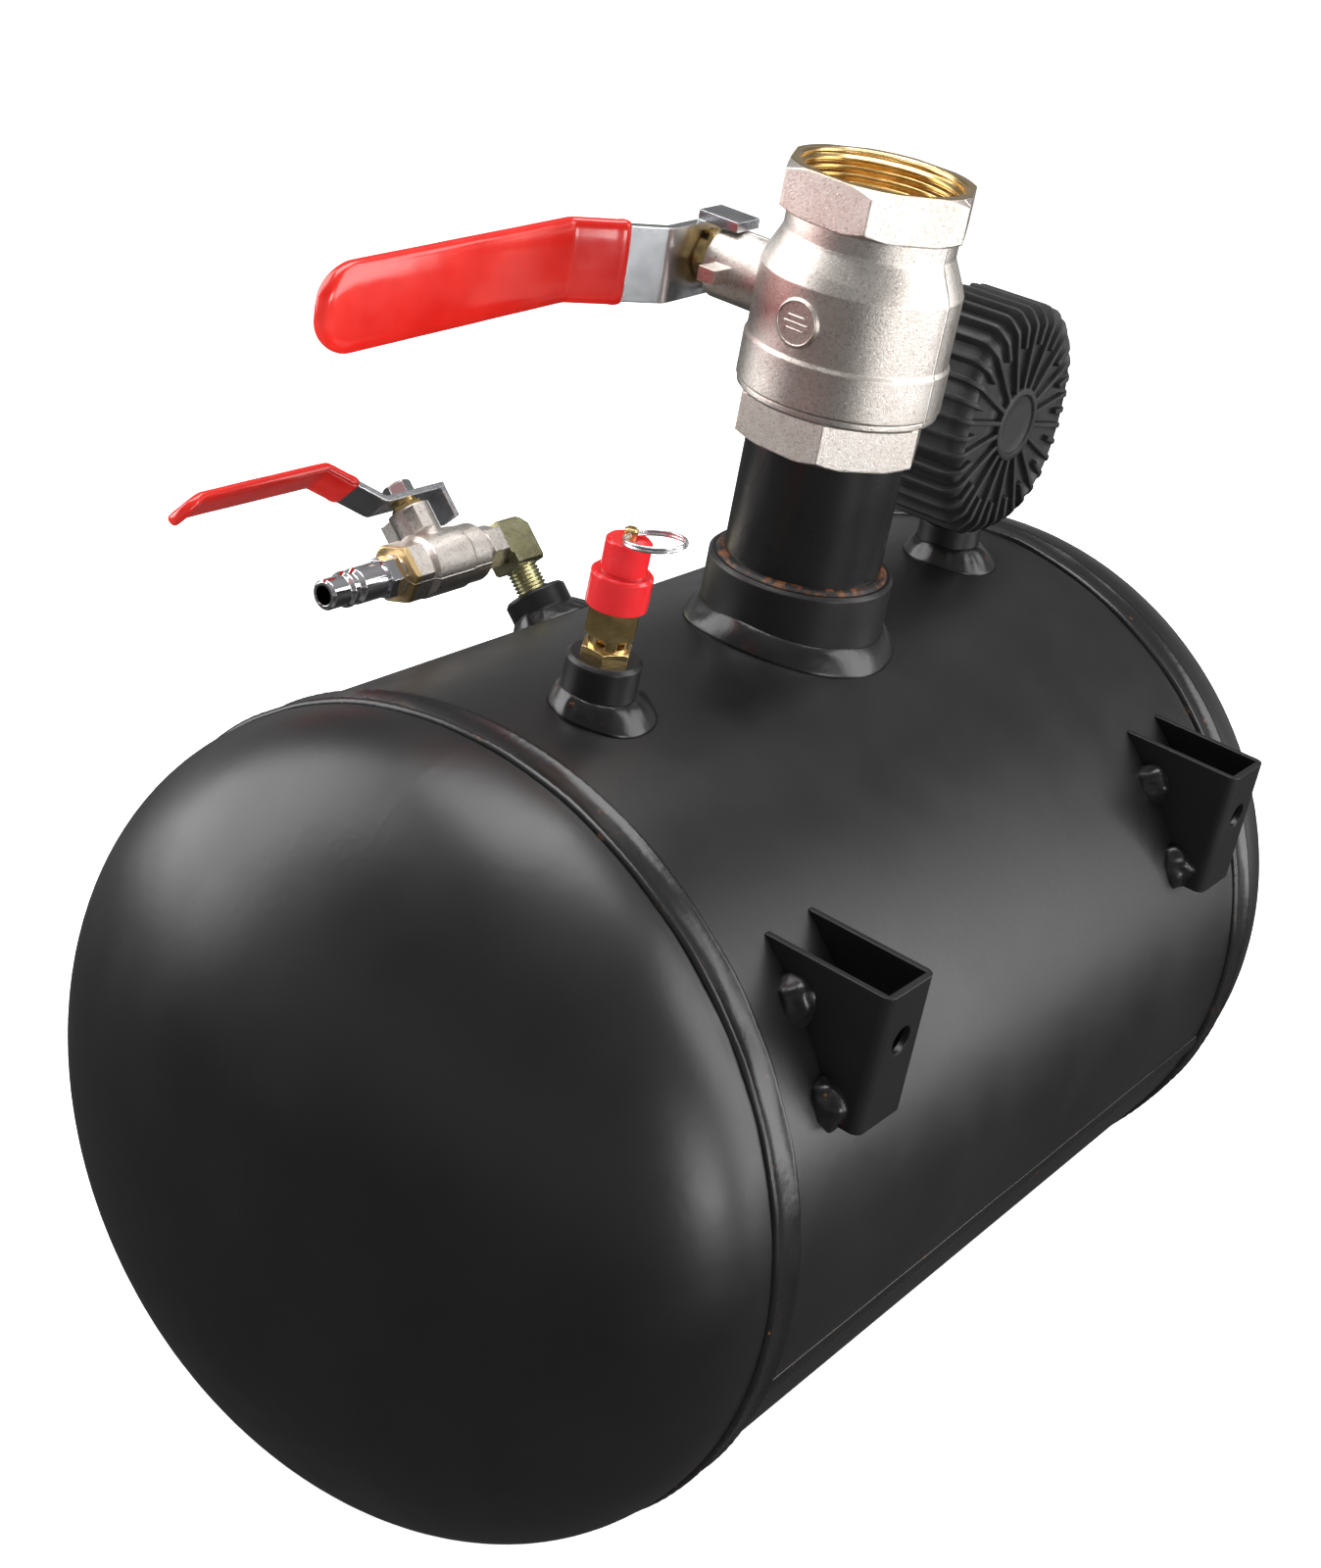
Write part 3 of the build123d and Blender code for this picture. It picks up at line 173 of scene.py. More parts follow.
def nickel(name, parting=None, bright_from=None, bore=None, brass_end=None):
    """Shot-blasted nickel plate; brass shows where the metal was machined after plating.

    parting is the axis and the place of the mould line. Above the height bright_from and inside
    the radius bore the metal is turned, and below the x of brass_end it is bare brass.
    """
    f = Finish(name, Metallic=1.0)
    cloud = f.between(f.noise(60.0, detail=5.0, roughness=0.65), 0.3, 0.7)
    colour = f.mix(cloud, rgb(0.76, 0.69, 0.63), rgb(0.90, 0.85, 0.80))
    pits = f.between(f.noise(900.0, detail=6.0, roughness=0.8), 0.32, 0.50)
    colour = f.mix(pits, rgb(0.50, 0.42, 0.36), colour)
    rough = f.between(f.noise(700.0, detail=6.0, roughness=0.7), 0.25, 0.75, 0.24, 0.38)
    worn = f.math("MULTIPLY", f.edges(0.0007), 0.5)
    colour = f.mix(worn, colour, rgb(0.93, 0.88, 0.82))
    level = f.noise(1900.0, detail=3.0, roughness=0.7)
    if parting:
        axis, place = parting
        offset = f.math("ABSOLUTE", f.math("SUBTRACT", f.axis(axis), place))
        line = f.between(offset, 0.0, 0.0005, start=1.0, end=0.0)
        level = f.math("ADD", level, f.math("MULTIPLY", line, 2.5))
    if bright_from is not None:
        across = f.math("POWER", f.axis("X"), 2.0)
        along = f.math("POWER", f.math("SUBTRACT", f.axis("Y"), TANK.y), 2.0)
        radius = f.math("SQRT", f.math("ADD", across, along))
        machined = f.math("MAXIMUM", f.math("GREATER_THAN", f.axis("Z"), bright_from),
                          f.math("LESS_THAN", radius, bore))
        plated_part = f.math("SUBTRACT", 1.0, machined)
        by_radius = f.node("ShaderNodeCombineXYZ", {0: radius}).outputs[0]
        rings = f.node("ShaderNodeTexNoise", {"Vector": by_radius, "Scale": 4200.0}).outputs[0]
        turned = f.mix(rings, rgb(0.62, 0.42, 0.18), rgb(0.86, 0.66, 0.36))
        colour = f.mix(machined, colour, turned)
        rough = f.math("ADD", f.math("MULTIPLY", rough, plated_part),
                       f.math("MULTIPLY", machined, 0.22))
        marks = f.math("MULTIPLY", f.math("MULTIPLY", rings, 0.4), machined)
        level = f.math("ADD", f.math("MULTIPLY", level, plated_part), marks)
    if brass_end is not None:
        end = f.math("LESS_THAN", f.axis("X"), brass_end)
        brass = f.mix(f.noise(900.0), rgb(0.72, 0.50, 0.22), rgb(0.90, 0.68, 0.36))
        colour = f.mix(end, colour, brass)
    swell = f.bump(f.noise(180.0, detail=2.0), depth=0.0006, strength=0.05,
                   normal=f.soft_edge(0.0007))
    f.set(Base_Color=colour, Roughness=rough,
          Normal=f.bump(level, depth=0.00026, strength=0.60, normal=swell))
    return f.material


def plated(name, first, second, rough, soften=0.0003, depth=0.12, stretch=None, worn=None):
    """Plated or machined metal, with a drifting tint, fine marks and edges of the colour worn."""
    f = Finish(name, Metallic=1.0)
    drift = f.noise(110.0, detail=4.0, roughness=0.6, distortion=0.6)
    colour = f.mix(f.between(drift, 0.3, 0.7), first, second)
    if worn:
        colour = f.mix(f.math("MULTIPLY", f.edges(0.0004), 0.6), colour, worn)
    patches = f.noise(260.0, detail=5.0, roughness=0.7)
    marks = f.noise(900.0, detail=2.0, roughness=0.6, stretch=stretch)
    f.set(Base_Color=colour,
          Roughness=f.between(patches, 0.25, 0.75, rough * 0.75, rough * 1.35),
          Normal=f.bump(marks, depth=0.0002, strength=depth, normal=f.soft_edge(soften)))
    return f.material


def glossy_plastic(name, first, second, rough, wave):
    """Coated soft plastic whose surface waves slightly."""
    f = Finish(name, IOR=1.5, Coat_Weight=0.35, Coat_Roughness=0.08,
               Subsurface_Weight=0.05, Subsurface_Scale=0.002)
    waves = f.bump(f.noise(95.0, detail=2.0, roughness=0.4), depth=0.0012, strength=wave,
                   normal=f.soft_edge(0.0005))
    patches = f.noise(180.0, detail=4.0)
    f.set(Base_Color=f.mix(f.between(f.noise(45.0), 0.3, 0.7), first, second),
          Roughness=f.between(patches, 0.25, 0.75, rough * 0.8, rough * 1.3),
          Normal=f.bump(f.noise(900.0, detail=2.0), depth=0.0002, strength=0.05, normal=waves))
    return f.material


def rubber():
    """Matt moulded rubber, dusty in patches and paler along its edges."""
    f = Finish("moulded_rubber", IOR=1.45)
    dust = f.between(f.noise(120.0, detail=5.0, roughness=0.65), 0.35, 0.75)
    colour = f.mix(dust, rgb(0.010, 0.010, 0.0105), rgb(0.021, 0.021, 0.022))
    pale = f.math("MULTIPLY", f.edges(0.0005, low=0.03, high=0.4), 0.35)
    grain = f.noise(1700.0, detail=3.0, roughness=0.6)
    f.set(Base_Color=f.mix(pale, colour, rgb(0.055, 0.055, 0.057)),
          Roughness=f.between(f.noise(300.0, detail=4.0), 0.25, 0.75, 0.42, 0.60),
          Normal=f.bump(grain, depth=0.00015, strength=0.25, normal=f.soft_edge(0.0004)))
    return f.material


def enamel(name, first, second, rough):
    """Smooth hard coating, or plain moulded plastic."""
    f = Finish(name, IOR=1.5)
    f.set(Base_Color=f.mix(f.noise(200.0, detail=4.0), first, second),
          Roughness=f.between(f.noise(500.0), 0.3, 0.7, rough * 0.85, rough * 1.2),
          Normal=f.bump(f.noise(1200.0), depth=0.0001, strength=0.05,
                        normal=f.soft_edge(0.0003)))
    return f.material


def clear_glass():
    f = Finish("clear_lens", IOR=1.5, Transmission_Weight=1.0, Base_Color=rgb(0.95, 0.98, 0.98))
    f.set(Roughness=f.between(f.noise(60.0, detail=5.0), 0.4, 0.8, 0.02, 0.06),
          Normal=f.bump(f.noise(40.0), depth=0.0002, strength=0.03))
    return f.material


# Finish of each material slot of the record.
MATERIALS = {
    "black_paint": black_paint("satin_black"),
    "weld_paint": black_paint("black_over_weld", rust=0.02, gloss=0.27, peel=0.12),
    "nickel_brass": nickel("blasted_nickel", parting=("X", 0.0),
                           bright_from=VALVE_TOP - 0.12 * MM, bore=BORE + 0.7 * MM),
    "brass": plated("turned_brass", rgb(0.70, 0.47, 0.17), rgb(0.90, 0.68, 0.33), rough=0.20,
                    worn=rgb(1.0, 0.86, 0.56)),
    "yellow_zinc": plated("yellow_zinc", rgb(0.46, 0.42, 0.20), rgb(0.70, 0.68, 0.46),
                          rough=0.26, soften=0.0005, worn=rgb(0.86, 0.82, 0.62)),
    "zinc_steel": plated("bright_zinc", rgb(0.62, 0.63, 0.66), rgb(0.80, 0.81, 0.83),
                         rough=0.20, soften=0.0005, stretch=(1.0, 7.0, 7.0),
                         worn=rgb(0.95, 0.95, 0.96)),
    "chrome": plated("chrome_plate", rgb(0.78, 0.79, 0.82), rgb(0.88, 0.88, 0.90), rough=0.07,
                     soften=0.0004, depth=0.03),
    "steel": plated("plain_steel", rgb(0.50, 0.50, 0.51), rgb(0.64, 0.63, 0.62), rough=0.30),
    "red_vinyl": glossy_plastic("red_vinyl", rgb(0.58, 0.010, 0.006), rgb(0.70, 0.020, 0.012),
                                rough=0.20, wave=0.14),
    "red_plastic": glossy_plastic("red_moulding", rgb(0.60, 0.004, 0.008),
                                  rgb(0.70, 0.010, 0.014), rough=0.22, wave=0.05),
    "ptfe": enamel("white_ptfe", rgb(0.80, 0.80, 0.78), rgb(0.88, 0.88, 0.86), rough=0.40),
    "rubber": rubber(),
    "gauge_black": enamel("black_enamel", rgb(0.012, 0.012, 0.012), rgb(0.022, 0.022, 0.022),
                          rough=0.32),
    "dial_white": enamel("white_enamel", rgb(0.80, 0.80, 0.78), rgb(0.86, 0.86, 0.85),
                         rough=0.35),
    "lens": clear_glass(),
    "pointer_black": enamel("pointer_enamel", rgb(0.010, 0.010, 0.010),
                            rgb(0.018, 0.018, 0.018), rough=0.45),
}
# CAD nodes whose finish differs a little from that of their slot.
SPECIAL = {
    "outlet_pipe_weld": black_paint("rusty_weld", rust=0.17, gloss=0.45, peel=0.20),
    "outlet_pipe": black_paint("pipe_paint", gloss=0.27, peel=0.03),
    "outlet_collar": black_paint("collar_paint", gloss=0.36, peel=0.06),
    "small_valve_body": nickel("cast_nickel", parting=("Z", small_stem.z),
                               brass_end=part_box("small_valve_body")[0].x + 2.4 * MM),
    "small_valve_end": nickel("cast_nickel_end"),
}

for part in frame["record"]["subparts"]:
    node_name = part["node"]
    slots = frame["nodes"][node_name].data.materials
    slots.clear()
    slots.append(SPECIAL.get(node_name, MATERIALS[part["material_slot"]]))


# ------------------------------------------------------------------ mesh helpers


def to_mesh(name, bm):
    mesh = bpy.data.meshes.new(name)
    bm.to_mesh(mesh)
    bm.free()
    return mesh


def add(name, mesh, slot, body, replaced=()):
    """Object for a mesh, finished from a slot of the record and riding on a body."""
    made = bpy.data.objects.new(name, mesh)
    scene.collection.objects.link(made)
    mesh.materials.append(MATERIALS[slot])
    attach(made, body)
    if replaced:
        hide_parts(*replaced)


def skin(name, slot, body, rows, replaced=(), wrap_rows=False, crease=None):
    """Smooth piece over rows of points, each a closed ring. Its ends close unless the rows wrap.

    Edges bent by more than crease degrees are shaded sharp.
    """
    bm = bmesh.new()
    grid = [[bm.verts.new(point) for point in row] for row in rows]
    count = len(rows[0])
    pairs = list(zip(grid, grid[1:]))
    if wrap_rows:
        pairs.append((grid[-1], grid[0]))
    for first, second in pairs:
        for i in range(count):
            j = (i + 1) % count
            bm.faces.new((first[i], first[j], second[j], second[i]))
    if not wrap_rows:
        for row in (grid[0], grid[-1]):
            bm.faces.new(row)
    bmesh.ops.recalc_face_normals(bm, faces=bm.faces)
    for face in bm.faces:
        face.smooth = True
    mesh = to_mesh(name, bm)
    if crease:
        mesh.set_sharp_from_angle(angle=radians(crease))
    add(name, mesh, slot, body, replaced)


def tube(points, radius, sides):
    """Rings of points round a path."""
    rows, across = [], None
    for i, point in enumerate(points):
        run = (points[min(i + 1, len(points) - 1)] - points[max(i - 1, 0)]).normalized()
        if across is None:
            across = run.orthogonal().normalized()
        else:
            across = (across - run * across.dot(run)).normalized()
        other = run.cross(across)
        angles = [2 * pi * k / sides for k in range(sides)]
        rows.append([point + radius * (across * cos(a) + other * sin(a)) for a in angles])
    return rows


def ring(name, slot, body, centre, normal, radius, thick):
    """Thin round ring whose wire has the radius thick."""
    sides, around = 8, 64
    across = normal.orthogonal().normalized()
    other = normal.cross(across)
    rows = []
    for i in range(around):
        clock = 2 * pi * i / around
        out = across * cos(clock) + other * sin(clock)
        angles = [2 * pi * k / sides for k in range(sides)]
        rows.append([centre + out * (radius + thick * cos(a)) + normal * thick * sin(a)
                     for a in angles])
    skin(name, slot, body, rows, wrap_rows=True)


def lump(point, scale, seed):
    """Smooth fixed noise, about -1 to 1."""
    return noise.noise(point * scale + Vector((seed, 2.3 * seed, -seed)))


# ------------------------------------------------------------------ welds


def saddle_weld(name, node, reach, lean, rise, belly, seed):
    """Fillet bead round a boss on the shell, with the waves of hand welding.

    Its foot is reach from the boss axis, and lean more towards the front right. It is rise high at
    the boss, and fuller the larger belly is. reach, lean and rise are in mm.
    """
    around, steps = 144, 12
    ripples, toe_sink, root_sink = 23, 0.15 * MM, 1.5 * MM
    front_right = radians(-40)
    boss_low, boss_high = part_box(node.replace("_weld", ""))
    boss = (boss_low + boss_high) / 2
    outward = Vector((0, boss.y - TANK.y, boss.z - TANK.z)).normalized()
    side = Vector((0, outward.z, -outward.y))
    foot = Vector((boss.x, TANK.y, TANK.z))
    inner = (boss_high.x - boss_low.x) / 2 - 0.2 * MM

    def on_shell(unit, radius, height):
        lateral = unit.y * radius
        surface = sqrt(TANK_R**2 - lateral**2)
        return (foot + Vector((unit.x * radius, 0, 0)) + side * lateral
                + outward * (surface + height))

    rows = []
    for i in range(around):
        clock = 2 * pi * i / around
        unit = Vector((cos(clock), sin(clock), 0))
        far = (reach * MM + lean * MM * cos(clock - front_right)
               + 0.55 * MM * lump(unit, 1.7, seed))
        top = rise * MM * (1 + 0.20 * lump(unit, 1.3, seed + 4))
        wave = 0.06 * MM * sin(clock * ripples + 2.0 * lump(unit, 2.0, seed + 8))
        row = []
        for k in range(steps):
            t = k / steps
            rough = wave + 0.9 * MM * lump(unit * (1 + 0.5 * t), 2.4, seed + 12)
            bead = top * (1 - t**belly) + rough * sin(pi * t)
            row.append(on_shell(unit, inner + (far - inner) * t, bead))
        row.append(on_shell(unit, far, -toe_sink))
        row.append(on_shell(unit, inner, -root_sink))
        rows.append(row)
    skin(name, "weld_paint", "tank", rows, (node,), wrap_rows=True)


saddle_weld("relief_weld_bead", "relief_bung_weld", 15.6, 2.5, 6.4, belly=1.7, seed=1.0)
saddle_weld("gauge_weld_bead", "gauge_bung_weld", 16.3, 1.9, 6.0, belly=1.3, seed=5.0)
saddle_weld("inlet_weld_bead", "inlet_bung_weld", 15.6, 1.2, 5.4, belly=1.4, seed=9.0)
saddle_weld("collar_weld_bead", "outlet_collar_weld", 33.3, 0.4, 6.6, belly=1.5, seed=13.0)


def girth_weld(name, node, place, seed):
    """Band round the tank at x = place, ridged along both toes and slightly uneven all round."""
    # place across the band and height, each as a share of its own largest value
    profile = ((-1.0, -0.35), (-0.93, 0.45), (-0.80, 1.0), (-0.66, 0.78), (-0.45, 0.50),
               (-0.2, 0.42), (0.0, 0.40), (0.2, 0.44), (0.45, 0.52), (0.66, 0.80), (0.80, 1.0),
               (0.93, 0.45), (1.0, -0.35))
    half, height, highest = 6.25 * MM, 1.45 * MM, 1.08
    around, ripples = 420, 190
    rows = []
    for i in range(around):
        clock = 2 * pi * i / around
        unit = Vector((0, sin(clock), cos(clock)))
        drift = 0.5 * MM * lump(unit, 2.2, seed)
        wide = half * (1 + 0.06 * lump(unit, 7.0, seed + 6))
        row = []
        for across, level in profile:
            if 0.3 < abs(across) < 0.9:
                level_now = level + 0.05 * sin(clock * ripples)
            else:
                level_now = level
            if level > 0:
                level_now += 0.22 * lump(unit * 9 + Vector((across * 1.5, 0, 0)), 1.0, seed + 3)
            radius = TANK_R + height * min(level_now, highest)
            row.append(Vector((place + drift + across * wide, TANK.y, TANK.z)) + unit * radius)
        rows.append(row)
    skin(name, "weld_paint", "tank", rows, (node,), wrap_rows=True)


girth_weld("near_girth_bead", "near_girth_weld", -JOINT_X, seed=21.0)
girth_weld("far_girth_bead", "far_girth_weld", JOINT_X, seed=27.0)


def seam_bead():
    """Long machine weld along the shell, with fine streaks and scales along it."""
    runs, steps = 420, 14
    half, height, root_sink = 4.5 * MM, 1.0 * MM, 0.8 * MM
    scales_per_metre = 2600
    low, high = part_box("seam_weld")
    middle = (low + high) / 2
    seam_angle = atan2(middle.y - TANK.y, middle.z - TANK.z)

    def on_shell(x, angle, level):
        radius = TANK_R + level
        return Vector((x, TANK.y + radius * sin(angle), TANK.z + radius * cos(angle)))

    rows = []
    for i in range(runs + 1):
        x = low.x + (high.x - low.x) * i / runs
        half_angle = half / TANK_R * (1 + 0.10 * lump(Vector((x * 30, 0, 0)), 1.0, 33.0))
        row = []
        for k in range(steps + 1):
            t = 2 * k / steps - 1
            streak = 0.22 * MM * lump(Vector((x * 14, t * 5.0, 0)), 1.0, 31.0)
            scale = 0.07 * MM * cos(x * scales_per_metre - 2.2 * t * t)
            level = (height + streak + scale) * (1 - t * t)
            row.append(on_shell(x, seam_angle + t * half_angle, level))
        row.append(on_shell(x, seam_angle, -root_sink))
        rows.append(row)
    skin("seam_bead", "weld_paint", "tank", rows, ("seam_weld",))


seam_bead()


def tack_welds(side):
    """Four blobs between the sides of a bracket and the shell, each with a small crater."""
    blob, sunk = 6.6 * MM, 0.3 * MM
    drops = (13.3, 36.8)    # below the top of the bracket, mm
    low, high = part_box(f"{side}_bracket")
    bm = bmesh.new()
    for wall, sign in ((low.x, -1), (high.x, 1)):
        crater_at = Vector((0.75 * sign, -0.6, 0.1))
        for drop in drops:
            z = high.z - drop * MM
            y = TANK.y - sqrt(TANK_R**2 - (z - TANK.z) ** 2)
            centre = Vector((wall, y, z))
            sphere = bmesh.ops.create_icosphere(bm, subdivisions=4, radius=1.0)
            for vert in sphere["verts"]:
                d = vert.co.copy()
                size = blob * (1 + 0.18 * lump(d + centre * 90, 1.6, drop))
                tail = 1.35 if d.z < 0 else 1.0
                spot = centre + Vector((d.x * size * 0.95, d.y * size, d.z * size * tail))
                spot -= d * 0.5 * MM * max(0.0, 1 - (d - crater_at).length * 2.2)
                if (spot.x - wall) * sign < -sunk:
                    spot.x = wall - sign * sunk
                vert.co = spot
    for face in bm.faces:
        face.smooth = True
    name = f"{side}_tacks"
    add(name, to_mesh(name, bm), "weld_paint", "tank", (f"{side}_bracket_welds",))


tack_welds("near")
tack_welds("far")


# ------------------------------------------------------------------ grips


def bend_path(points, radius, spacing):
    """Evenly spaced points along straight runs joined by round bends."""
    bend_steps = 8
    corners = [Vector(point) for point in points]
    line = [corners[0]]
    for before, corner, after in zip(corners, corners[1:], corners[2:]):
        a, b = (before - corner).normalized(), (after - corner).normalized()
        half = a.angle(b) / 2
        tangent = max(0.05, abs(sin(half) / cos(half)))
        trim = min(radius / tangent, 0.45 * (after - corner).length)
        start, end = corner + a * trim, corner + b * trim
        for k in range(bend_steps + 1):
            t = k / bend_steps
            line.append(start.lerp(corner, t).lerp(corner.lerp(end, t), t))
    line.append(corners[-1])
    even, carry = [line[0]], 0.0
    for first, second in zip(line, line[1:]):
        length = (second - first).length
        at = spacing - carry
        while at < length:
            even.append(first.lerp(second, at / length))
            at += spacing
        carry = (carry + length) % spacing
    even.append(line[-1])
    return even


def signed_power(value, power):
    return abs(value) ** power if value >= 0 else -abs(value) ** power


def grip(name, node, body, origin, along, out, path, bend, width, thick, seed):
    """Dipped vinyl sleeve: flat oval section, round tip, rolled mouth and a slight waviness.

    path, bend, width and thick are in mm; path runs along and out from origin.
    """
    sides = 40
    mouth_length, mouth_pinch = 1.5 * MM, 0.45 * MM
    roll_at, roll_length, roll_height = 2.2 * MM, 1.6 * MM, 0.16 * MM
    thinnest = 0.12 * MM
    across = out.cross(along).normalized()
    corners = [Vector((a * MM, b * MM, 0)) for a, b in path]
    points = bend_path(corners, bend * MM, 0.8 * MM)
    total = sum((b - a).length for a, b in zip(points, points[1:]))
    half, deep = width / 2 * MM, thick / 2 * MM
    rows, at = [], 0.0
    previous = points[0]
    for i, point in enumerate(points):
        at += (point - previous).length
        previous = point
        run = (points[min(i + 2, len(points) - 1)] - points[max(i - 2, 0)]).normalized()
        normal = Vector((-run.y, run.x, 0))
        left = max(total - at, 0.0)
        tip = max(1 - left / (1.6 * deep), 0.0)
        pinch = mouth_pinch * max(0.0, 1 - at / mouth_length) ** 2
        roll = roll_height * max(0.0, 1 - abs(at - roll_at) / roll_length)
        wide = sqrt(max(half**2 - max(half - left, 0.0) ** 2, thinnest**2)) - pinch + roll
        tall = deep * min(1.0, sqrt(max(1 - tip**2, 0.0016))) - pinch + roll
        row = []
        for k in range(sides):
            angle = 2 * pi * k / sides
            c, s = cos(angle), sin(angle)
            wave = 0.10 * MM * lump(Vector((at * 60, c, s)), 1.0, seed)
            u = wide * signed_power(c, 0.42)
            v = tall * signed_power(s, 0.75) + (wave if s >= 0 else -wave)
            spot = point + normal * v
            row.append(origin + along * spot.x + out * spot.y + across * u)
        rows.append(row)
    skin(name, "red_vinyl", body, rows, (node,))


droop = radians(2.2)
grip("main_grip_sleeve", "main_grip", "main_lever", main_stem,
     Vector((-cos(droop), 0, -sin(droop))), Vector((0, 1, 0)),
     path=((31.0, 61.5), (46.0, 71.5), (146.4, 71.5)), bend=5.0, width=25.6, thick=5.6, seed=41.0)
grip("small_grip_sleeve", "small_grip", "small_lever", small_stem,
     Vector((-1, 0, 0)), -Vector(joints["small_valve_turn"]["axis"]),
     path=((20.5, 29.9), (29.5, 37.5), (81.0, 37.5), (89.3, 34.7)), bend=2.5, width=14.0,
     thick=4.0, seed=47.0)


# ------------------------------------------------------------------ valve thread, medallion, ring


def mouth_thread():
    """Female pipe thread in the mouth of the main valve, fading out at its mouth."""
    around, steps = 180, 96
    pitch, depth, fade_length = 2.309 * MM, 1.25 * MM, 1.6 * MM
    bottom, mouth = VALVE_TOP - 15.5 * MM, VALVE_TOP - 0.75 * MM
    backing = BORE + 0.25 * MM
    rows = []
    for i in range(around):
        clock = 2 * pi * i / around
        row = []
        for k in range(steps + 1):
            z = bottom + (mouth - bottom) * k / steps
            phase = (z / pitch - i / around) % 1.0
            tooth = 1 - abs(2 * phase - 1)
            fade = min(1.0, (mouth - z) / fade_length)
            flank = min(1.0, max(0.0, tooth * 1.25 - 0.12))
            radius = BORE + 0.02 * MM - depth * fade * flank
            row.append(Vector((radius * cos(clock), TANK.y + radius * sin(clock), z)))
        for z in (mouth, bottom):
            row.append(Vector((backing * cos(clock), TANK.y + backing * sin(clock), z)))
        rows.append(row)
    skin("valve_mouth_thread", "brass", "tank", rows, wrap_rows=True)


def medallion():
    """Plain rimmed disc with three bars on the side of the main valve."""
    face = Vector((-30.5 * MM, TANK.y, main_stem.z + 0.3 * MM))
    ring("medallion_rim", "nickel_brass", "tank", face, Vector((1, 0, 0)),
         radius=6.4 * MM, thick=0.38 * MM)
    for name, lift, reach in (("medallion_bar_1", -1.9, 2.9), ("medallion_bar_20", 0.0, 4.0),
                              ("medallion_bar_39", 1.9, 2.9)):
        middle = face + Vector((0, 0, lift * MM))
        points = [middle + Vector((0, reach * MM * t, 0)) for t in (-1, -0.9, -0.4, 0.4, 0.9, 1)]
        skin(name, "nickel_brass", "tank", tube(points, 0.36 * MM, sides=8))


def split_ring():
    """Nearly two coils of spring wire through the eye of the stem, lifted as in the photo."""
    turns, steps, radius, start = 1.93, 200, 8.3 * MM, 0.9
    rise, steepness = 0.98 * MM, 34     # the step between the coils
    low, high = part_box("pull_ring")
    centre = (low + high) / 2
    normal = Vector(joints["relief_lift"]["axis"]).normalized()
    first = Vector((1, 0, 0))
    second = normal.cross(first).normalized()
    eye = Vector(joints["ring_swing"]["pos_m"])
    tilt = Matrix.Rotation(radians(-10), 4, "X")
    lifted = Matrix.Translation(eye) @ tilt @ Matrix.Translation(-eye)
    points = []
    for i in range(steps + 1):
        t = i / steps
        clock = 2 * pi * turns * t - start
        jog = 1 / (1 + exp(-(t - 0.5) * steepness)) - 0.5
        out = (first * cos(clock) + second * sin(clock)) * radius
        points.append(lifted @ (centre + out + normal * jog * rise))
    rows = tube(points, 0.48 * MM, sides=12)
    skin("split_ring", "zinc_steel", "pull_ring", rows, ("pull_ring",))


mouth_thread()
medallion()
split_ring()


# ------------------------------------------------------------------ gauge boot and dial

gauge = Vector(joints["needle_turn"]["pos_m"])
dial_out = -Vector(joints["needle_turn"]["axis"]).normalized()
dial_up = (Vector((0, 0, 1)) - dial_out * dial_out.z).normalized()
dial_right = Vector((-1, 0, 0))


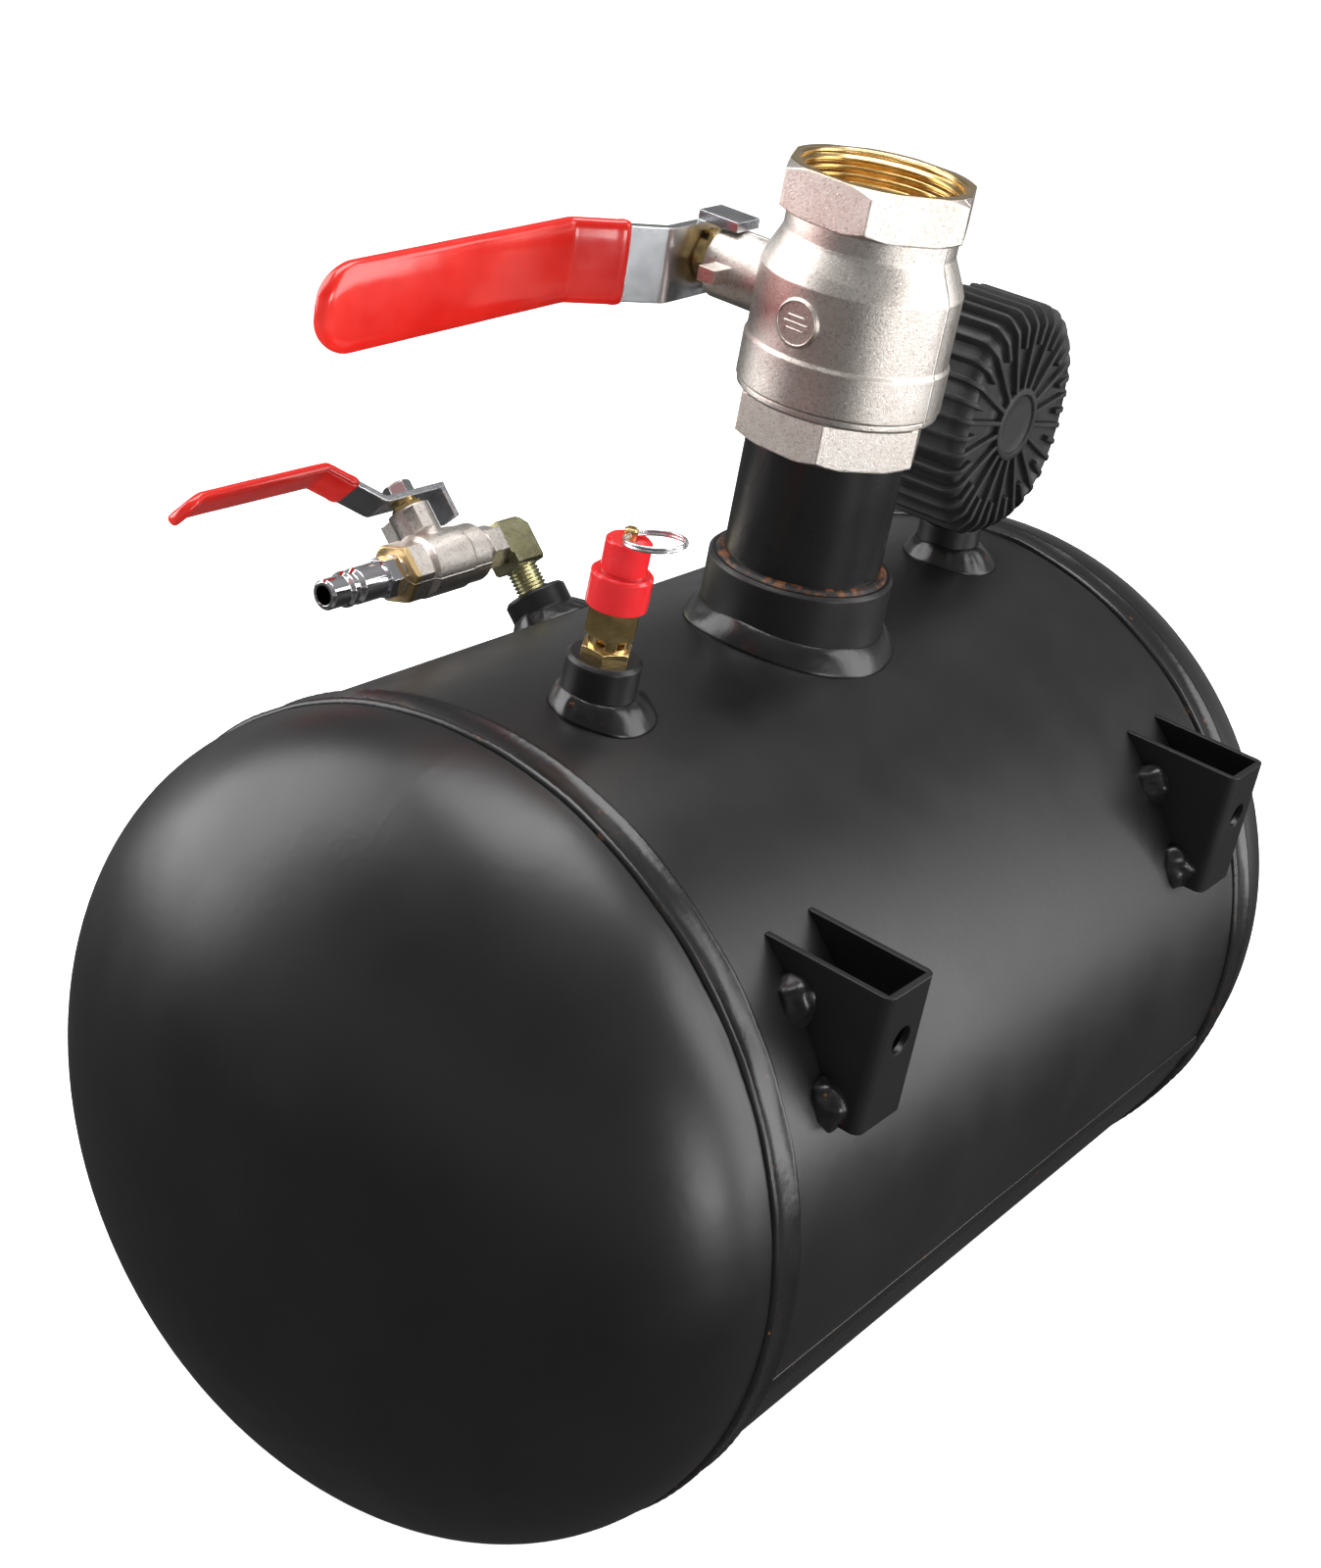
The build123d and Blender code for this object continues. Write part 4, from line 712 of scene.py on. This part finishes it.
def boot():
    """Rubber boot: long and short ribs in turn over its back and sides, plain lip round the dial.

    All sizes here are in mm and angles run round the dial's axis, from straight up.
    """
    # radius and depth in the grooves, then on the ribs, from the middle of the back to the lip
    profile = [(0.6, -15.5, 0.6, -15.5), (5.0, -15.5, 5.0, -15.5), (9.2, -15.5, 9.2, -15.5),
               (9.75, -15.65, 9.75, -15.65), (10.0, -16.1, 10.0, -16.1),
               (10.35, -16.48, 10.35, -16.48), (11.9, -16.48, 11.9, -16.48),
               (12.2, -16.35, 12.2, -16.35), (12.35, -15.9, 12.35, -16.2),
               (12.5, -14.3, 12.5, -16.2), (13.0, -14.0, 13.0, -16.2),
               (18.0, -14.0, 18.0, -16.2), (23.0, -14.0, 23.0, -16.2),
               (26.4, -14.0, 26.4, -16.2), (26.9, -14.0, 26.9, -16.2),
               (30.0, -14.0, 30.4, -16.2), (31.6, -13.9, 32.5, -16.2),
               (32.6, -13.4, 33.4, -15.9), (33.3, -12.5, 35.0, -14.6),
               (33.7, -11.3, 36.6, -12.9), (33.9, -10.0, 37.15, -11.6),
               (33.9, -8.0, 37.3, -10.0), (33.9, 0.0, 37.3, 0.0), (33.9, 8.0, 37.3, 8.0),
               (33.9, 13.2, 37.3, 13.2), (34.0, 14.6, 37.1, 14.6), (34.4, 15.6, 36.3, 15.6),
               (35.1, 16.3, 35.4, 16.3), (35.3, 17.0, 35.3, 17.0), (35.3, 20.0, 35.3, 20.0),
               (35.1, 20.6, 35.1, 20.6), (34.5, 20.95, 34.5, 20.95),
               (30.3, 20.95, 30.3, 20.95), (29.7, 20.7, 29.7, 20.7),
               (29.55, 20.2, 29.55, 20.2), (29.55, 18.65, 29.55, 18.65)]
    lining = 32.45      # radius of the inner wall, which is round and has no ribs
    profile += [(r, d, r, d) for r, d in ((lining, 18.6), (lining, -11.45), (0.6, -11.45))]
    ribs, half, foot = 36, 0.86, 1.14      # number, half width on top and at the bottom
    pitch_half = pi / ribs
    section = ((-foot, 0.0), (-(half + 0.12), 0.10), (-(half - 0.02), 0.86),
               (-(half - 0.25), 0.985), (0.0, 1.0), (half - 0.25, 0.985), (half - 0.02, 0.86),
               (half + 0.12, 0.10), (foot, 0.0))
    short_from, rounded_from, filled_from = 26.6, 26.0, 32.4   # radii where these begin
    side_radius, lip_depth = 37.3, 15.0
    tall, wide, squareness = 38.8, 35.6, 2.6

    def filled(angle):
        """How far the grooves are filled on the two sides, from 0 to 0.74."""
        angle = (angle + pi) % (2 * pi) - pi
        middle, spread = (104, 50) if angle > 0 else (-84, 27)
        t = (radians(spread) - abs(angle - radians(middle))) / radians(9)
        t = min(1.0, max(0.0, t))
        return 0.74 * t * t * (3 - 2 * t)

    def outline(angle):
        """Radius of a rounded rectangle, tall by wide."""
        return (abs(cos(angle) / tall) ** squareness
                + abs(sin(angle) / wide) ** squareness) ** (-1 / squareness)

    def point(angle, radius, depth):
        direction = dial_up * cos(angle) - dial_right * sin(angle)
        return gauge + direction * radius * MM + dial_out * depth * MM

    rows = []
    for groove_r, groove_d, rib_r, rib_d in profile:
        crowded = rib_r * pitch_half <= foot * 1.02
        outside = groove_d < lip_depth and rib_r > rounded_from and groove_r != lining
        rounding = min(1.0, (rib_r - rounded_from) / 11.3) if outside else 0.0
        row = []
        for rib in range(ribs):
            middle, short = 2 * pi * rib / ribs, rib % 2
            spread = pitch_half * (0.405 if short else 0.94)
            across = [(-pitch_half, 0.0)]
            for lateral, level in section:
                turn = lateral / foot * spread if crowded else lateral / rib_r
                across.append((turn, 0.0 if short and rib_r < short_from else level))
            for turn, level in across:
                angle = middle + turn
                share = filled(angle) if rib_r > filled_from else 0.0
                share += (1 - share) * level
                radius = groove_r + (rib_r - groove_r) * share
                depth = groove_d + (rib_d - groove_d) * share
                radius += (outline(angle) - side_radius) * rounding
                row.append(point(angle, radius, depth))
        rows.append(row)
    skin("ribbed_boot", "rubber", "tank", rows, ("gauge_boot",), crease=32)


def dial_marks():
    """Scale arc, ticks and numbers from 0 to 10 on the dial, all lying on its face."""
    first, sweep = radians(225), radians(270)
    ticks, arc_bars = 50, 180
    level = max((corner - gauge).dot(dial_out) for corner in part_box("gauge_dial")) + 0.05 * MM
    face = gauge + dial_out * level
    bm = bmesh.new()

    def bar(angle, inner, outer, wide):
        """Flat bar pointing away from the middle; inner, outer and wide are in mm."""
        direction = dial_right * cos(angle) + dial_up * sin(angle)
        side = dial_right * -sin(angle) + dial_up * cos(angle)
        corners = [face + direction * r * MM + side * w * wide * MM / 2
                   for r, w in ((inner, -1), (outer, -1), (outer, 1), (inner, 1))]
        lowers = [bm.verts.new(corner - dial_out * 0.08 * MM) for corner in corners]
        uppers = [bm.verts.new(corner + dial_out * 0.03 * MM) for corner in corners]
        bm.faces.new(uppers)
        bm.faces.new(lowers[::-1])
        for i in range(4):
            j = (i + 1) % 4
            bm.faces.new((lowers[i], lowers[j], uppers[j], uppers[i]))

    for step in range(ticks + 1):
        inner, wide = (26.2, 0.3) if step % 5 else (24.4, 0.65)
        bar(first - sweep * step / ticks, inner, 28.4, wide)
    for step in range(arc_bars):
        bar(first - sweep * (step + 0.5) / arc_bars, 28.4, 28.7, 0.70)
    add("dial_scale", to_mesh("dial_scale", bm), "pointer_black", "tank")

    turn = Matrix((dial_right, dial_up, dial_out)).transposed().to_4x4()
    for number in range(0, 11, 2):
        angle = first - sweep * number / 10
        letters = bpy.data.curves.new(f"number_{number}", "FONT")
        letters.body = str(number)
        letters.size = 4.2 * MM
        letters.align_x, letters.align_y = "CENTER", "CENTER"
        letters.extrude = 0.03 * MM
        source = bpy.data.objects.new(f"letters_{number}", letters)
        scene.collection.objects.link(source)
        bpy.context.view_layer.update()
        mesh = bpy.data.meshes.new_from_object(source)
        bpy.data.objects.remove(source)
        place = face + (dial_right * cos(angle) + dial_up * sin(angle)) * 20.6 * MM
        mesh.transform(Matrix.Translation(place) @ turn)
        add(f"dial_number_{number}", mesh, "pointer_black", "tank")


boot()
dial_marks()


# ------------------------------------------------------------------ floor, light, camera


def pale_floor():
    f = Finish("pale_floor", IOR=1.3, Emission_Color=rgb(1, 1, 1), Emission_Strength=0.8)
    f.set(Base_Color=f.mix(f.noise(2.0), rgb(0.93, 0.93, 0.93), rgb(0.96, 0.96, 0.96)),
          Roughness=f.between(f.noise(8.0), 0.3, 0.7, 0.85, 0.95))
    bm = bmesh.new()
    bmesh.ops.create_grid(bm, x_segments=4, y_segments=4, size=40.0)
    mesh = to_mesh("floor", bm)
    mesh.materials.append(f.material)
    floor = bpy.data.objects.new("floor", mesh)
    floor.location = (0, 0, LOWEST - 0.5 * MM)
    floor.visible_glossy = False
    scene.collection.objects.link(floor)


def softbox(name, place, aim, width, height, power):
    data = bpy.data.lights.new(name, "AREA")
    data.shape = "RECTANGLE"
    data.size, data.size_y = width, height
    data.energy = power
    lamp = bpy.data.objects.new(name, data)
    lamp.location = place
    lamp.rotation_euler = (Vector(aim) - Vector(place)).to_track_quat("-Z", "Y").to_euler()
    scene.collection.objects.link(lamp)


def studio_sky():
    """Grey light from all round: darkest below, a pale band at the horizon, pale overhead."""
    # height, from 0 straight down to 1 straight up, and strength
    below, *bands, above = ((0.36, 0.07), (0.47, 0.36), (0.53, 0.36), (0.68, 0.14), (1.0, 0.42))
    world = bpy.data.worlds.new("studio")
    scene.world = world
    world.use_nodes = True
    nodes, links = world.node_tree.nodes, world.node_tree.links
    background = nodes["Background"]
    background.inputs["Color"].default_value = rgb(1, 1, 1)
    direction = nodes.new("ShaderNodeTexCoord")
    split = nodes.new("ShaderNodeSeparateXYZ")
    height = nodes.new("ShaderNodeMapRange")
    height.inputs["From Min"].default_value = -1.0
    ramp = nodes.new("ShaderNodeValToRGB")
    stops = ramp.color_ramp.elements
    stops[0].position = below[0]
    for place, strength in bands:
        stops.new(place).color = rgb(strength, strength, strength)
    stops[0].color = rgb(below[1], below[1], below[1])
    stops[-1].color = rgb(above[1], above[1], above[1])
    links.new(direction.outputs["Generated"], split.inputs[0])
    links.new(split.outputs["Z"], height.inputs["Value"])
    links.new(height.outputs[0], ramp.inputs[0])
    links.new(ramp.outputs[0], background.inputs["Strength"])


def photo_camera():
    """Camera at the photograph's viewing angle."""
    place = Vector((-0.58908, -0.22593, 0.33129))
    right, up = Vector((0.5831, -0.7915, 0.1833)), Vector((0.2574, 0.3939, 0.8824))
    data = bpy.data.cameras.new("camera")
    data.lens, data.sensor_width = 55.1, 36.0
    data.shift_x, data.shift_y = -0.0463, -0.0289
    data.clip_start, data.clip_end = 0.01, 50
    camera = bpy.data.objects.new("camera", data)
    scene.collection.objects.link(camera)
    turn = Matrix((right, up, right.cross(up))).transposed()
    camera.matrix_world = Matrix.Translation(place) @ turn.to_4x4()
    scene.camera = camera


pale_floor()
middle = (0, 0.12, 0)
softbox("top_box", (0.15, 0.35, 1.7), middle, 1.7, 1.1, power=34)
softbox("left_box", (-0.60, 1.40, 0.50), (-0.1, 0.12, 0), 1.0, 1.6, power=21)
softbox("right_box", (1.0, -1.35, 0.60), middle, 1.2, 2.0, power=30)
softbox("low_box", (-0.20, -1.30, 0.12), (0, 0.12, 0.22), 0.5, 0.45, power=6)
studio_sky()
scene.view_settings.view_transform = "Standard"
photo_camera()

bpy.context.view_layer.update()
